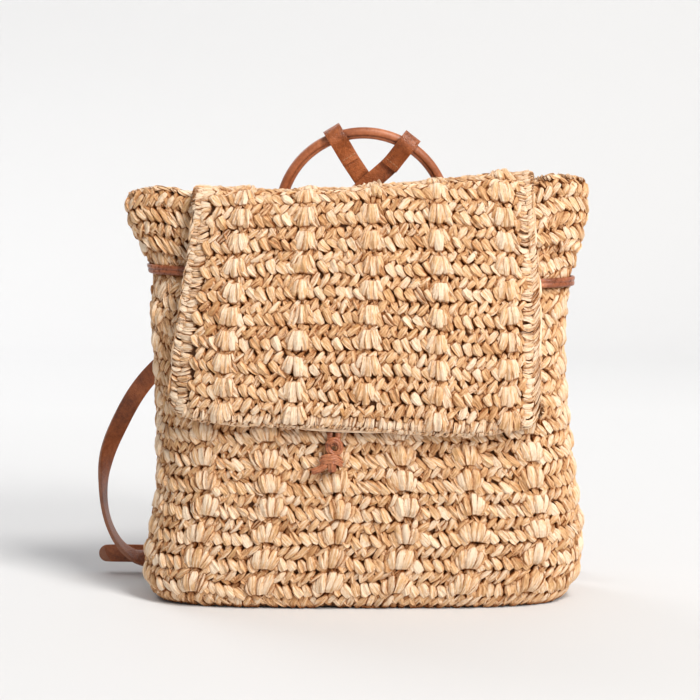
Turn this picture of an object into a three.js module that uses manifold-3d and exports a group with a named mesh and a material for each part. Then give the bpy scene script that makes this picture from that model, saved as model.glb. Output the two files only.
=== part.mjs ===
// A woven straw backpack: a crocheted sack with an open mouth, a flap over its front, a leather ring
// handle, two leather straps looped round the ring, and a leather drawstring tied under the flap.
// Millimetres. +Z is up, the front faces -Y, +X is to the right seen from the front.
// The origin is the middle of the flat base.
import * as THREE from "three";
import { mergeVertices } from "three/addons/utils/BufferGeometryUtils.js";
import Module from "manifold-3d";

const wasm = await Module();
wasm.setup();

// Driving sizes of the sack.
const BODY_WIDTH = 304;
const BODY_DEPTH = 116;
const BODY_HEIGHT = 280;
const BODY_WALL = 4;
const BODY_SIDES = 56;
const GAP = 0.4;

// The sack's outline from the base up. at is a share of BODY_HEIGHT, left and right are shares of half
// BODY_WIDTH, front and back of half BODY_DEPTH, and square is the outline's superellipse power.
const BODY_SECTIONS = [
  { at: 0.0, left: 0.92, right: 0.885, front: 0.93, back: 0.93, square: 3.6 },
  { at: 0.02, left: 0.968, right: 0.92, front: 0.985, back: 0.98, square: 3.6 },
  { at: 0.05, left: 0.993, right: 0.958, front: 1.015, back: 1.0, square: 3.6 },
  { at: 0.09, left: 0.994, right: 0.982, front: 1.03, back: 1.01, square: 3.5 },
  { at: 0.16, left: 0.975, right: 0.992, front: 1.045, back: 1.01, square: 3.4 },
  { at: 0.25, left: 0.942, right: 0.968, front: 1.055, back: 1.0, square: 3.3 },
  { at: 0.36, left: 0.936, right: 0.942, front: 1.05, back: 0.98, square: 3.2 },
  { at: 0.48, left: 0.938, right: 0.917, front: 1.015, back: 0.95, square: 3.1 },
  { at: 0.6, left: 0.948, right: 0.905, front: 0.93, back: 0.88, square: 3.0 },
  { at: 0.7, left: 0.962, right: 0.913, front: 0.83, back: 0.8, square: 2.8 },
  { at: 0.76, left: 0.965, right: 0.938, front: 0.76, back: 0.75, square: 2.6 },
  { at: 0.795, left: 0.958, right: 0.945, front: 0.71, back: 0.71, square: 2.5 },
  { at: 0.83, left: 0.978, right: 0.96, front: 0.665, back: 0.67, square: 2.4 },
  { at: 0.87, left: 1.013, right: 0.99, front: 0.61, back: 0.62, square: 2.3 },
  { at: 0.92, left: 1.06, right: 1.01, front: 0.55, back: 0.56, square: 2.2 },
  { at: 0.96, left: 1.08, right: 1.017, front: 0.51, back: 0.52, square: 2.1 },
  { at: 1.0, left: 1.085, right: 1.018, front: 0.48, back: 0.49, square: 2.1 },
];

// How far the rim stands over BODY_HEIGHT, as a share of it. across is a share of the half width there.
// The flap presses the middle down, and the two ears stand up beside it.
const RIM_PROFILE = [
  { across: -1.0, lift: -0.014 },
  { across: -0.93, lift: 0.0 },
  { across: -0.84, lift: 0.003 },
  { across: -0.75, lift: -0.007 },
  { across: -0.66, lift: -0.022 },
  { across: -0.55, lift: -0.031 },
  { across: -0.3, lift: -0.035 },
  { across: 0.0, lift: -0.027 },
  { across: 0.3, lift: -0.013 },
  { across: 0.5, lift: -0.001 },
  { across: 0.68, lift: 0.011 },
  { across: 0.82, lift: 0.029 },
  { across: 0.93, lift: 0.031 },
  { across: 1.0, lift: 0.02 },
];
const RIM_FROM = 0.6;
const RIM_ROUND = 1.2;

// The drawstring gathers the mouth into shallow folds, which deepen from the lace up to the rim.
const GATHER_COUNT = 11;
const GATHER_DEPTH = 3;
const GATHER_FROM = 0.8;

// The flap. It leaves the back rim, crosses the mouth and hangs down the front.
const FLAP_THICKNESS = 4.6;
const FLAP_WIDTH = 240;
const FLAP_HEM_HEIGHT = 121;
const FLAP_STANDOFF = 5.2;
const FLAP_SEAT = 0.7;
const FLAP_ARCH = 1.6;
const FLAP_COLUMNS = 26;
const FLAP_ROWS = 24;

// Its two sides from the top fold to the hem. down is a share of the drop, and left and right are
// shares of half FLAP_WIDTH.
const FLAP_SIDES = [
  { down: 0.0, left: 0.945, right: 0.938 },
  { down: 0.2, left: 0.97, right: 0.953 },
  { down: 0.42, left: 1.005, right: 0.975 },
  { down: 0.63, left: 1.04, right: 0.977 },
  { down: 0.8, left: 1.072, right: 0.972 },
  { down: 1.0, left: 1.1, right: 0.968 },
];

// Its hem. across runs from the left side, -1, to the right side, 1. rise is a share of
// FLAP_HEM_HEIGHT, and the left corner is the rounder one.
const FLAP_HEM = [
  { across: -1.0, rise: 0.165 },
  { across: -0.985, rise: 0.118 },
  { across: -0.95, rise: 0.086 },
  { across: -0.86, rise: 0.058 },
  { across: -0.65, rise: 0.038 },
  { across: -0.15, rise: 0.02 },
  { across: 0.2, rise: 0.0 },
  { across: 0.5, rise: -0.021 },
  { across: 0.68, rise: -0.022 },
  { across: 0.84, rise: 0.0 },
  { across: 0.96, rise: 0.01 },
  { across: 1.0, rise: 0.045 },
];

// The ring handle leans on the sack's back.
const RING_RADIUS = 58.9;
const RING_TUBE_RADIUS = 3.8;
const RING_HEIGHT = 262;
const RING_LEAN = 0.2;
const RING_STEPS = 44;
const RING_TUBE_SIDES = 10;

// The keeper is a leather loop that holds the ring's lowest point to the back.
const KEEPER_WIDTH = 14;
const KEEPER_THICKNESS = 1.8;
const KEEPER_TAIL = 30;
const KEEPER_CLEARANCE = 0.9;

// Straps, and the sliders that their lower ends run through.
const STRAP_WIDTH = 12.8;
const STRAP_THICKNESS = 2.2;
const STRAP_LAYER_GAP = 0.5;
const BAND_TURN = THREE.MathUtils.degToRad(16);
const LOOP_CLEARANCE = 2.0;
const LOOP_END = 20;
const SLIDER_BAR = 3;
const SLIDER_WINDOW = 10;
const SLIDER_CLEARANCE = 0.6;
const BAR_CLEARANCE = 0.35;
const SLIDER_OFF_BACK = 3.6;
const SLIDER_HEIGHT = 13;
// Shares of half BODY_WIDTH.
const SLIDER_LEFT_AT = -0.862;
const SLIDER_RIGHT_AT = 0.592;
const TAIL_LENGTH = 57;
const ANCHOR_LENGTH = 27;
const ANCHOR_THICKNESS = 1.8;

// The drawstring, a flat lace round the sack, and its two round ends.
const LACE_HEIGHT = 222;
const LACE_TILT = -0.014;
const LACE_WIDTH = 6.2;
const LACE_THICKNESS = 2.6;
const LACE_CLEARANCE = 0.9;
const LACE_STEPS = 80;
const LACE_MEET = -20;
const LACE_MOUTH = 36;
const TIE_DIAMETER = 3.4;
const TIE_SIDES = 8;
const TIE_STEPS = 26;
const KNOT_TOP = FLAP_HEM_HEIGHT - 3.3;
const KNOT_SIZE = { x: 14, y: 7.4, z: 23 };
const KNOT_CLEARANCE = 1.6;
const KNOT_ASIDE = 1.5;
// The knot's cut end: its length, its turn in degrees and where its middle lies from the knot's middle.
const KNOT_END = { length: 14, turn: -56, aside: 7.5, front: 0.4, drop: 6.8 };

const STRAW = new THREE.MeshStandardMaterial({ color: 0xd9ad74, roughness: 0.8, metalness: 0 });
const LEATHER = new THREE.MeshStandardMaterial({ color: 0x9a4d26, roughness: 0.5, metalness: 0 });
const BRASS = new THREE.MeshStandardMaterial({ color: 0xb08d4c, roughness: 0.35, metalness: 1 });

const vec = (x, y, z) => new THREE.Vector3(x, y, z);
const clamp = THREE.MathUtils.clamp;
const lerp = THREE.MathUtils.lerp;

// The value of a table's column where its key column reaches place, smooth between the rows.
function reading(table, key, column, place) {
  const at = clamp(place, table[0][key], table[table.length - 1][key]);
  let i = 0;
  while (i < table.length - 2 && table[i + 1][key] < at) i += 1;
  const slope = (j) => {
    const a = table[Math.max(j - 1, 0)];
    const b = table[Math.min(j + 1, table.length - 1)];
    return (b[column] - a[column]) / (b[key] - a[key]);
  };
  const span = table[i + 1][key] - table[i][key];
  const t = (at - table[i][key]) / span;
  const t2 = t * t;
  const t3 = t2 * t;
  return (
    (2 * t3 - 3 * t2 + 1) * table[i][column] +
    (t3 - 2 * t2 + t) * span * slope(i) +
    (3 * t2 - 2 * t3) * table[i + 1][column] +
    (t3 - t2) * span * slope(i + 1)
  );
}

// The sack's half sizes at a share of its height.
function sectionAt(share) {
  const read = (column) => reading(BODY_SECTIONS, "at", column, share);
  return {
    left: (read("left") * BODY_WIDTH) / 2,
    right: (read("right") * BODY_WIDTH) / 2,
    front: (read("front") * BODY_DEPTH) / 2,
    back: (read("back") * BODY_DEPTH) / 2,
    square: read("square"),
  };
}

function rimLift(share, across) {
  const ramp = clamp((share - RIM_FROM) / (1 - RIM_FROM), 0, 1);
  return ramp * ramp * BODY_HEIGHT * reading(RIM_PROFILE, "across", "lift", across);
}

// How deep the gathers may be at a share of the height, and how far they push the wall out or in.
const gatherDepth = (share) => GATHER_DEPTH * clamp((share - GATHER_FROM) / (1 - GATHER_FROM), 0, 1);
function gather(share, angle) {
  const wave = Math.sin(GATHER_COUNT * angle + 1.1) * (0.75 + 0.25 * Math.sin(3 * angle + 0.4));
  return gatherDepth(share) * wave * Math.abs(Math.sin(angle));
}

// A point of the sack's wall, inset from its outside.
function wallPoint(share, angle, inset) {
  const section = sectionAt(share);
  const c = Math.cos(angle);
  const s = Math.sin(angle);
  const power = 2 / section.square;
  const halfX = (c < 0 ? section.left : section.right) - inset;
  const halfY = (s < 0 ? section.front : section.back) - inset + gather(share, angle);
  const acrossShare = Math.sign(c) * Math.abs(c) ** power;
  return vec(
    halfX * acrossShare,
    halfY * Math.sign(s) * Math.abs(s) ** power,
    share * BODY_HEIGHT + rimLift(share, acrossShare),
  );
}

// The share of the sack's height that lies at height z and place x.
function shareAt(x, z) {
  let share = z / BODY_HEIGHT;
  for (let i = 0; i < 8; i += 1) {
    const section = sectionAt(clamp(share, 0, 1));
    const across = clamp(x / (x < 0 ? section.left : section.right), -1, 1);
    share = (z - rimLift(clamp(share, 0, 1), across)) / BODY_HEIGHT;
  }
  return clamp(share, 0, 1);
}

// How far the sack's outside lies from the middle plane at x and z. side is "front" or "back".
function wallDepth(x, z, side) {
  const section = sectionAt(shareAt(x, z));
  const across = Math.min(Math.abs(x) / (x < 0 ? section.left : section.right), 1);
  return section[side] * (1 - across ** section.square) ** (1 / section.square);
}

// How far the sack's back reaches anywhere under a patch about x and z.
function backUnder(x, z, halfX, halfZ) {
  let depth = 0;
  for (const dx of [-halfX, 0, halfX]) {
    for (const dz of [-halfZ, 0, halfZ]) depth = Math.max(depth, wallDepth(x + dx, z + dz, "back"));
  }
  return depth;
}

// The height of the rim's edge at x.
function rimHeight(x) {
  const section = sectionAt(1);
  return BODY_HEIGHT + rimLift(1, clamp(x / (x < 0 ? section.left : section.right), -1, 1));
}

// Angles that space an outline's points evenly, measured on the section at half height.
function evenAngles(count, share) {
  const FINE = 2000;
  const points = [];
  for (let i = 0; i <= FINE; i += 1) points.push(wallPoint(share, (i / FINE) * 2 * Math.PI, 0).setZ(0));
  const lengths = [0];
  for (let i = 1; i <= FINE; i += 1) lengths.push(lengths[i - 1] + points[i].distanceTo(points[i - 1]));
  const angles = [];
  let j = 0;
  for (let i = 0; i < count; i += 1) {
    const wanted = (i / count) * lengths[FINE];
    while (lengths[j + 1] < wanted) j += 1;
    angles.push(((j + (wanted - lengths[j]) / (lengths[j + 1] - lengths[j])) / FINE) * 2 * Math.PI);
  }
  return angles;
}

// A closed body through rings of points. Each ring has the same number of points, and both ends are
// closed with a fan: on the end ring's own middle, or on a single point where an end ring holds one.
function loft(rings) {
  const count = Math.max(...rings.map((ring) => ring.length));
  const positions = [];
  const index = [];
  const starts = rings.map((ring) => {
    const start = positions.length / 3;
    for (const p of ring) positions.push(p.x, p.y, p.z);
    return start;
  });
  const middleOf = (ring) => ring.reduce((sum, p) => sum.add(p), vec(0, 0, 0)).divideScalar(ring.length);
  const fan = (start, turned) => {
    const ring = [];
    for (let i = 0; i < count; i += 1) ring.push(vec(...positions.slice((start + i) * 3, (start + i) * 3 + 3)));
    const middle = middleOf(ring);
    const hub = positions.length / 3;
    positions.push(middle.x, middle.y, middle.z);
    for (let i = 0; i < count; i += 1) {
      const a = start + i;
      const b = start + ((i + 1) % count);
      index.push(...(turned ? [hub, b, a] : [hub, a, b]));
    }
  };
  for (let r = 0; r + 1 < rings.length; r += 1) {
    for (let i = 0; i < count; i += 1) {
      const j = (i + 1) % count;
      const [a, b, c, d] = [starts[r] + i, starts[r] + j, starts[r + 1] + j, starts[r + 1] + i];
      index.push(a, b, c, a, c, d);
    }
  }
  fan(starts[0], true);
  fan(starts[rings.length - 1], false);
  const geometry = new THREE.BufferGeometry();
  geometry.setAttribute("position", new THREE.Float32BufferAttribute(positions, 3));
  geometry.setIndex(index);
  return geometry;
}

// A solid of a geometry, and back again, for joins.
function solidOf(geometry) {
  const bare = geometry.clone();
  bare.deleteAttribute("normal");
  bare.deleteAttribute("uv");
  const merged = mergeVertices(bare, 1e-4);
  return new wasm.Manifold(
    new wasm.Mesh({
      numProp: 3,
      vertProperties: new Float32Array(merged.attributes.position.array),
      triVerts: new Uint32Array(merged.index.array),
    }),
  );
}

function geometryOf(solid) {
  const mesh = solid.getMesh();
  const geometry = new THREE.BufferGeometry();
  geometry.setAttribute("position", new THREE.Float32BufferAttribute(mesh.vertProperties, 3));
  geometry.setIndex(Array.from(mesh.triVerts));
  return geometry;
}

function namedMesh(name, geometry, material) {
  geometry.computeVertexNormals();
  const mesh = new THREE.Mesh(geometry, material);
  mesh.name = name;
  return mesh;
}

// The sack: down the inside from the rim to the floor is one skin, and up the outside is the other.
function body() {
  const angles = evenAngles(BODY_SIDES, 0.45);
  const ring = (share, inset, rise = 0) =>
    angles.map((angle) => wallPoint(share, angle, inset).add(vec(0, 0, rise)));
  const outer = BODY_SECTIONS.map((section) => section.at);
  outer.splice(6, 0, 0.305);
  outer.splice(8, 0, 0.42);
  const floorShare = BODY_WALL / BODY_HEIGHT;
  const inner = outer.filter((share, i) => share > 2 * floorShare && (i % 2 === 0 || share > 0.85));
  const rings = outer.map((share) => ring(share, 0));
  rings.push(ring(1, BODY_WALL / 2, RIM_ROUND));
  for (const share of inner.reverse()) rings.push(ring(share, BODY_WALL));
  rings.push(ring(floorShare, 2.2 * BODY_WALL));
  return namedMesh("body", loft(rings), STRAW);
}

// A sheet of even thickness about a grid of points, closed all round its edges.
function sheet(grid, thickness) {
  const rows = grid.length;
  const columns = grid[0].length;
  const at = (r, c) => grid[clamp(r, 0, rows - 1)][clamp(c, 0, columns - 1)];
  const skin = (side) =>
    grid.map((line, r) =>
      line.map((p, c) => {
        const down = at(r + 1, c).clone().sub(at(r - 1, c));
        const right = at(r, c + 1).clone().sub(at(r, c - 1));
        const normal = right.cross(down).normalize();
        return p.clone().addScaledVector(normal, (side * thickness) / 2);
      }),
    );
  const outside = skin(-1);
  const inside = skin(1);
  const positions = [];
  for (const p of [...outside.flat(), ...inside.flat()]) positions.push(p.x, p.y, p.z);
  const index = [];
  const out = (r, c) => r * columns + c;
  const inn = (r, c) => rows * columns + r * columns + c;
  const quad = (a, b, c, d) => index.push(a, b, c, a, c, d);
  for (let r = 0; r + 1 < rows; r += 1) {
    for (let c = 0; c + 1 < columns; c += 1) {
      quad(out(r, c), out(r + 1, c), out(r + 1, c + 1), out(r, c + 1));
      quad(inn(r, c), inn(r, c + 1), inn(r + 1, c + 1), inn(r + 1, c));
    }
    quad(out(r, 0), inn(r, 0), inn(r + 1, 0), out(r + 1, 0));
    const last = columns - 1;
    quad(out(r, last), out(r + 1, last), inn(r + 1, last), inn(r, last));
  }
  for (let c = 0; c + 1 < columns; c += 1) {
    quad(out(0, c), out(0, c + 1), inn(0, c + 1), inn(0, c));
    const last = rows - 1;
    quad(out(last, c), inn(last, c), inn(last, c + 1), out(last, c + 1));
  }
  const geometry = new THREE.BufferGeometry();
  geometry.setAttribute("position", new THREE.Float32BufferAttribute(positions, 3));
  geometry.setIndex(index);
  return geometry;
}

// The flap's own across place of a column, closer together at the two sides for the round corners.
function flapAcross(column) {
  const even = (2 * column) / FLAP_COLUMNS - 1;
  return Math.sin((even * Math.PI) / 2) * 0.35 + even * 0.65;
}

// One line of the flap, from the back rim over the mouth and down to the hem.
function flapLine(across) {
  const half = FLAP_WIDTH / 2;
  const xAt = (down) => {
    const left = -half * reading(FLAP_SIDES, "down", "left", down);
    const right = half * reading(FLAP_SIDES, "down", "right", down);
    return lerp(left, right, (across + 1) / 2);
  };
  const x = xAt(0);
  const rim = rimHeight(x);
  const over = rim + RIM_ROUND + FLAP_SEAT + FLAP_THICKNESS / 2;
  const back = wallDepth(x, rim, "back");
  const front = -wallDepth(x, rim, "front");
  const hem = FLAP_HEM_HEIGHT * (1 + reading(FLAP_HEM, "across", "rise", across));
  const off = FLAP_STANDOFF + FLAP_THICKNESS / 2;
  const points = [
    vec(x, back, over),
    vec(x, lerp(back, front, 0.5), over + FLAP_ARCH),
    vec(x, lerp(back, front, 0.95), over + 0.6 * FLAP_ARCH),
    vec(x, front - GATHER_DEPTH - 0.66 * off, rim + 0.3 * off),
  ];
  for (const down of [0.09, 0.2, 0.35, 0.5, 0.65, 0.8, 0.9, 1]) {
    const z = lerp(rim, hem, down);
    const place = xAt(down);
    const reach = wallDepth(place, z, "front") + gatherDepth(shareAt(place, z)) + off;
    points.push(vec(place, -reach, z));
  }
  return new THREE.CatmullRomCurve3(points, false, "centripetal").getSpacedPoints(FLAP_ROWS);
}

function flap() {
  const lines = [];
  for (let c = 0; c <= FLAP_COLUMNS; c += 1) lines.push(flapLine(flapAcross(c)));
  const grid = lines[0].map((_, r) => lines.map((line) => line[r]));
  return namedMesh("flap", sheet(grid, FLAP_THICKNESS), STRAW);
}

// The ring's plane: how far behind the middle plane it stands at a height.
const ringFoot = RING_HEIGHT - RING_RADIUS;
const ringFootY =
  wallDepth(0, ringFoot, "back") + GAP + KEEPER_THICKNESS + KEEPER_CLEARANCE + RING_TUBE_RADIUS + GAP;
const ringY = (z) => ringFootY - RING_LEAN * (z - ringFoot);

// The middle of the ring's tube at an angle from its top, clockwise seen from the front.
function ringPoint(degrees) {
  const angle = THREE.MathUtils.degToRad(degrees);
  const upright = Math.cos(angle) * RING_RADIUS;
  const lean = Math.atan(RING_LEAN);
  const z = RING_HEIGHT + upright * Math.cos(lean);
  return vec(Math.sin(angle) * RING_RADIUS, ringY(RING_HEIGHT) - upright * Math.sin(lean), z);
}

function ringHandle() {
  const profile = [];
  for (let i = 0; i <= RING_TUBE_SIDES; i += 1) {
    const angle = (i / RING_TUBE_SIDES) * 2 * Math.PI;
    const wrap = i === RING_TUBE_SIDES ? 0 : angle;
    profile.push(
      new THREE.Vector2(RING_RADIUS + RING_TUBE_RADIUS * Math.cos(wrap), RING_TUBE_RADIUS * Math.sin(wrap)),
    );
  }
  const mesh = namedMesh("ring_handle", new THREE.LatheGeometry(profile, RING_STEPS), LEATHER);
  mesh.position.set(0, ringY(RING_HEIGHT), RING_HEIGHT);
  mesh.rotation.x = Math.atan(RING_LEAN);
  return mesh;
}

// A flat band along a route. Each stop of the route has a point and the direction across the band.
// Its rings stand closer together where it turns or twists. roundEnd rounds the far end off over that
// length.
function band(stops, width, thickness, roundEnd = 0) {
  const curve = new THREE.CatmullRomCurve3(stops.map((stop) => stop.p), false, "centripetal");
  const sides = new THREE.CatmullRomCurve3(stops.map((stop) => stop.across), false, "centripetal");
  curve.arcLengthDivisions = 1200;
  const segments = stops.length - 1;
  const places = [{ t: 0, round: 1 }];
  for (let i = 0; i < segments; i += 1) {
    const [from, to] = [i / segments, (i + 1) / segments];
    const bend = curve.getTangent(from).angleTo(curve.getTangent(to));
    const twist = sides.getPoint(from).angleTo(sides.getPoint(to));
    const pieces = Math.max(1, Math.ceil((bend + twist) / BAND_TURN));
    for (let j = 1; j <= pieces; j += 1) places.push({ t: lerp(from, to, j / pieces), round: 1 });
  }
  if (roundEnd) {
    const endShare = roundEnd / curve.getLength();
    const start = curve.getUtoTmapping(1 - endShare);
    while (places[places.length - 1].t > start - 1e-6) places.pop();
    for (const degrees of [0, 25, 45, 62, 78]) {
      const angle = THREE.MathUtils.degToRad(degrees);
      const t = curve.getUtoTmapping(1 - endShare * (1 - Math.sin(angle)));
      places.push({ t, round: Math.cos(angle) });
    }
  }
  const rings = places.map(({ t, round }) => {
    const centre = curve.getPoint(t);
    const along = curve.getTangent(t);
    const across = sides.getPoint(t);
    across.addScaledVector(along, -across.dot(along)).normalize();
    const out = along.clone().cross(across);
    const corner = (a, o) =>
      centre
        .clone()
        .addScaledVector(across, (a * width * round) / 2)
        .addScaledVector(out, (o * thickness) / 2);
    return [corner(-1, -1), corner(1, -1), corner(1, 1), corner(-1, 1)];
  });
  return loft(rings);
}

// Stops that carry a band once round a bar, from one side of it to the other. ahead points from the
// bar towards the band's run, behind is the side that the run leaves on.
function stopsRound(centre, ahead, behind, across, radius, lead) {
  const stop = (a, b) => ({
    p: centre.clone().addScaledVector(ahead, a).addScaledVector(behind, b),
    across: across.clone(),
  });
  const half = lead.layer / 2;
  const stops = [];
  for (const along of lead.before) stops.push(stop(along, -half));
  for (let degrees = -60; degrees >= -300; degrees -= 30) {
    const angle = THREE.MathUtils.degToRad(degrees);
    stops.push(stop(Math.cos(angle) * radius, Math.sin(angle) * radius));
  }
  for (const along of lead.after) stops.push(stop(along, half));
  return stops;
}

const layerPitch = STRAP_THICKNESS + STRAP_LAYER_GAP;
const loopRadius = RING_TUBE_RADIUS + LOOP_CLEARANCE + STRAP_THICKNESS / 2;

// The upper end of a strap: a short sewn end in front, round the ring, and down behind.
function loopStops(degrees, tiltDegrees) {
  const tilt = THREE.MathUtils.degToRad(tiltDegrees);
  const ahead = vec(Math.sin(tilt), RING_LEAN * Math.cos(tilt), -Math.cos(tilt)).normalize();
  const across = vec(Math.cos(tilt), 0, Math.sin(tilt));
  const behind = across.clone().cross(ahead).multiplyScalar(-1).normalize();
  if (behind.y < 0) behind.multiplyScalar(-1);
  return stopsRound(ringPoint(degrees), ahead, behind, across, loopRadius, {
    layer: layerPitch,
    before: [LOOP_END, 0.6 * LOOP_END],
    after: [0.6 * LOOP_END, LOOP_END],
  });
}

// The lower end of a strap sits in a slider on the back, near a lower corner. The slider's middle is
// at x and z, and the strap and its free tail leave it towards that side.
function sliderSeat(x, z) {
  const out = vec(Math.sign(x), 0, 0);
  const y = backUnder(x - 10 * out.x, z, 16, SLIDER_HEIGHT) + SLIDER_OFF_BACK + SLIDER_BAR / 2;
  return { place: vec(x, y, z), out, across: vec(0, 0, -out.x), reach: (SLIDER_WINDOW + SLIDER_BAR) / 2 };
}
const leftSeat = sliderSeat((SLIDER_LEFT_AT * BODY_WIDTH) / 2, SLIDER_HEIGHT);
const rightSeat = sliderSeat((SLIDER_RIGHT_AT * BODY_WIDTH) / 2, SLIDER_HEIGHT);

// A band turns round a square bar outside the bar's corners.
const turnRadius = (thickness) => SLIDER_BAR * Math.SQRT1_2 + BAR_CLEARANCE + thickness / 2;
const sliderTurn = turnRadius(STRAP_THICKNESS);

// The strap's lower stops: in front of the outer bar, round it, and out behind as a free tail.
function seatStops(seat) {
  const bar = seat.place.clone().addScaledVector(seat.out, seat.reach);
  const stop = (a, b) => ({
    p: bar.clone().addScaledVector(seat.out, a).add(vec(0, b, 0)),
    across: seat.across.clone(),
  });
  const stops = [stop(9, -sliderTurn - 0.4), stop(3.5, -sliderTurn)];
  for (let degrees = -90; degrees <= 90; degrees += 30) {
    const angle = THREE.MathUtils.degToRad(degrees);
    stops.push(stop(-Math.cos(angle) * sliderTurn, Math.sin(angle) * sliderTurn));
  }
  stops.push(stop(3.5, sliderTurn), stop(12, sliderTurn + 2.2), stop(30, sliderTurn + 4.5));
  stops.push(stop(TAIL_LENGTH, sliderTurn + 5));
  return stops;
}

// Where the straps pass the ring. x and z are shares of RING_RADIUS from the ring's middle, behind is
// the distance behind the ring's plane, and wide points across the strap.
const LEFT_AT_RING = [
  { x: 0.044, z: 0.363, behind: -0.9, wide: [0.7, 0, -0.71] },
  { x: -0.424, z: -0.06, behind: 3.5, wide: [0.66, 0, -0.75] },
  { x: -0.747, z: -0.34, behind: 7.4, wide: [0.66, 0, -0.75] },
  { x: -1.019, z: -0.577, behind: 7.4, wide: [0.66, 0, -0.75] },
];
const RIGHT_AT_RING = [
  { x: 0.031, z: 0.377, behind: 4.9, wide: [0.76, 0, 0.65] },
  { x: 0.374, z: -0.119, behind: 5.7, wide: [0.8, 0, 0.6] },
  { x: 0.73, z: -0.696, behind: 8.4, wide: [0.8, 0, 0.6] },
];

// The straps' ways from the ring to the sliders. x and y are shares of half BODY_WIDTH and half
// BODY_DEPTH, and z is a share of BODY_HEIGHT. The left strap bows out past the side and turns its
// edge to the front before it comes back to the slider.
const LEFT_RUN = [
  { x: -0.566, y: 0.94, z: 0.738, wide: [0.66, 0, -0.75] },
  { x: -0.789, y: 0.94, z: 0.636, wide: [0.66, 0, -0.75] },
  { x: -0.974, y: 0.948, z: 0.545, wide: [0.72, 0.05, -0.69] },
  { x: -1.079, y: 0.966, z: 0.479, wide: [0.8, 0.1, -0.58] },
  { x: -1.164, y: 0.983, z: 0.396, wide: [0.86, 0.35, -0.36] },
  { x: -1.224, y: 0.983, z: 0.318, wide: [0.7, 0.7, -0.14] },
  { x: -1.247, y: 0.983, z: 0.239, wide: [0.25, 0.97, 0] },
  { x: -1.237, y: 0.974, z: 0.161, wide: [0.08, 1, 0.02] },
  { x: -1.191, y: 0.957, z: 0.096, wide: [0.05, 1, 0.1] },
  { x: -1.118, y: 0.931, z: 0.055, wide: [0.05, 0.95, 0.3] },
  { x: -1.039, y: 0.91, z: 0.043, wide: [0, 0.6, 0.8] },
];

// The other strap takes the same way to the other corner, but stays hidden behind the sack.
const RIGHT_RUN = [
  { x: 0.48, y: 1.138, z: 0.661, wide: [0.75, 0, 0.66] },
  { x: 0.684, y: 1.293, z: 0.536, wide: [0.76, -0.05, 0.65] },
  { x: 0.836, y: 1.379, z: 0.418, wide: [0.84, -0.2, 0.5] },
  { x: 0.928, y: 1.397, z: 0.314, wide: [0.8, -0.5, 0.3] },
  { x: 0.961, y: 1.328, z: 0.221, wide: [0.4, -0.9, 0.05] },
  { x: 0.947, y: 1.207, z: 0.15, wide: [0.1, -1, -0.05] },
  { x: 0.908, y: 1.095, z: 0.1, wide: [0.05, -0.95, -0.2] },
  { x: 0.842, y: 1.026, z: 0.064, wide: [0.03, -0.8, -0.6] },
  { x: 0.763, y: 1.014, z: 0.049, wide: [0, -0.4, -0.92] },
];

function runStops(atRing, run) {
  const passing = atRing.map(({ x, z, behind, wide }) => {
    const height = RING_HEIGHT + z * RING_RADIUS;
    return { p: vec(x * RING_RADIUS, ringY(height) + behind, height), across: vec(...wide) };
  });
  const free = run.map(({ x, y, z, wide }) => ({
    p: vec((x * BODY_WIDTH) / 2, (y * BODY_DEPTH) / 2, z * BODY_HEIGHT),
    across: vec(...wide),
  }));
  return [...passing, ...free];
}

function strap(name, loop, run, seat) {
  const stops = [...loop, ...run, ...seatStops(seat)];
  return namedMesh(name, band(stops, STRAP_WIDTH, STRAP_THICKNESS, STRAP_WIDTH / 2), LEATHER);
}

// A plain rectangular slider, with a window that the strap and the anchor pass through.
function slider(name, seat) {
  const halfIn = SLIDER_WINDOW / 2;
  const tallIn = STRAP_WIDTH / 2 + SLIDER_CLEARANCE;
  const outline = (Kind, x, y) => {
    const path = new Kind();
    path.moveTo(-x, -y).lineTo(x, -y).lineTo(x, y).lineTo(-x, y).closePath();
    return path;
  };
  const shape = outline(THREE.Shape, halfIn + SLIDER_BAR, tallIn + SLIDER_BAR);
  shape.holes.push(outline(THREE.Path, halfIn, tallIn));
  const geometry = new THREE.ExtrudeGeometry(shape, { depth: SLIDER_BAR, bevelEnabled: false });
  geometry.translate(0, 0, -SLIDER_BAR / 2);
  const mesh = namedMesh(name, geometry, BRASS);
  const normal = seat.out.clone().cross(seat.across).normalize();
  mesh.matrixAutoUpdate = false;
  mesh.matrix.makeBasis(seat.out, seat.across, normal).setPosition(seat.place);
  return mesh;
}

// A leather anchor, sewn flat on the back, that folds round the slider's inner bar.
function anchor(name, seat) {
  const bar = seat.place.clone().addScaledVector(seat.out, -seat.reach);
  const turn = turnRadius(ANCHOR_THICKNESS);
  const onBack = (a, layer) => {
    const p = bar.clone().addScaledVector(seat.out, -a);
    p.y = backUnder(p.x, p.z, 1, STRAP_WIDTH / 2) + GAP + ANCHOR_THICKNESS / 2 + layer;
    return { p, across: seat.across.clone() };
  };
  const second = ANCHOR_THICKNESS + GAP;
  const stops = [onBack(ANCHOR_LENGTH, 0), onBack(0.75 * ANCHOR_LENGTH, 0), onBack(0.5 * ANCHOR_LENGTH, 0)];
  for (let degrees = -90; degrees <= 90; degrees += 30) {
    const angle = THREE.MathUtils.degToRad(degrees);
    const p = bar.clone().addScaledVector(seat.out, Math.cos(angle) * turn);
    p.y += Math.sin(angle) * turn;
    stops.push({ p, across: seat.across.clone() });
  }
  stops.push(onBack(0.5 * ANCHOR_LENGTH, second), onBack(0.75 * ANCHOR_LENGTH, second));
  stops.push(onBack(ANCHOR_LENGTH, second));
  return namedMesh(name, band(stops, STRAP_WIDTH - 1, ANCHOR_THICKNESS), LEATHER);
}

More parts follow.
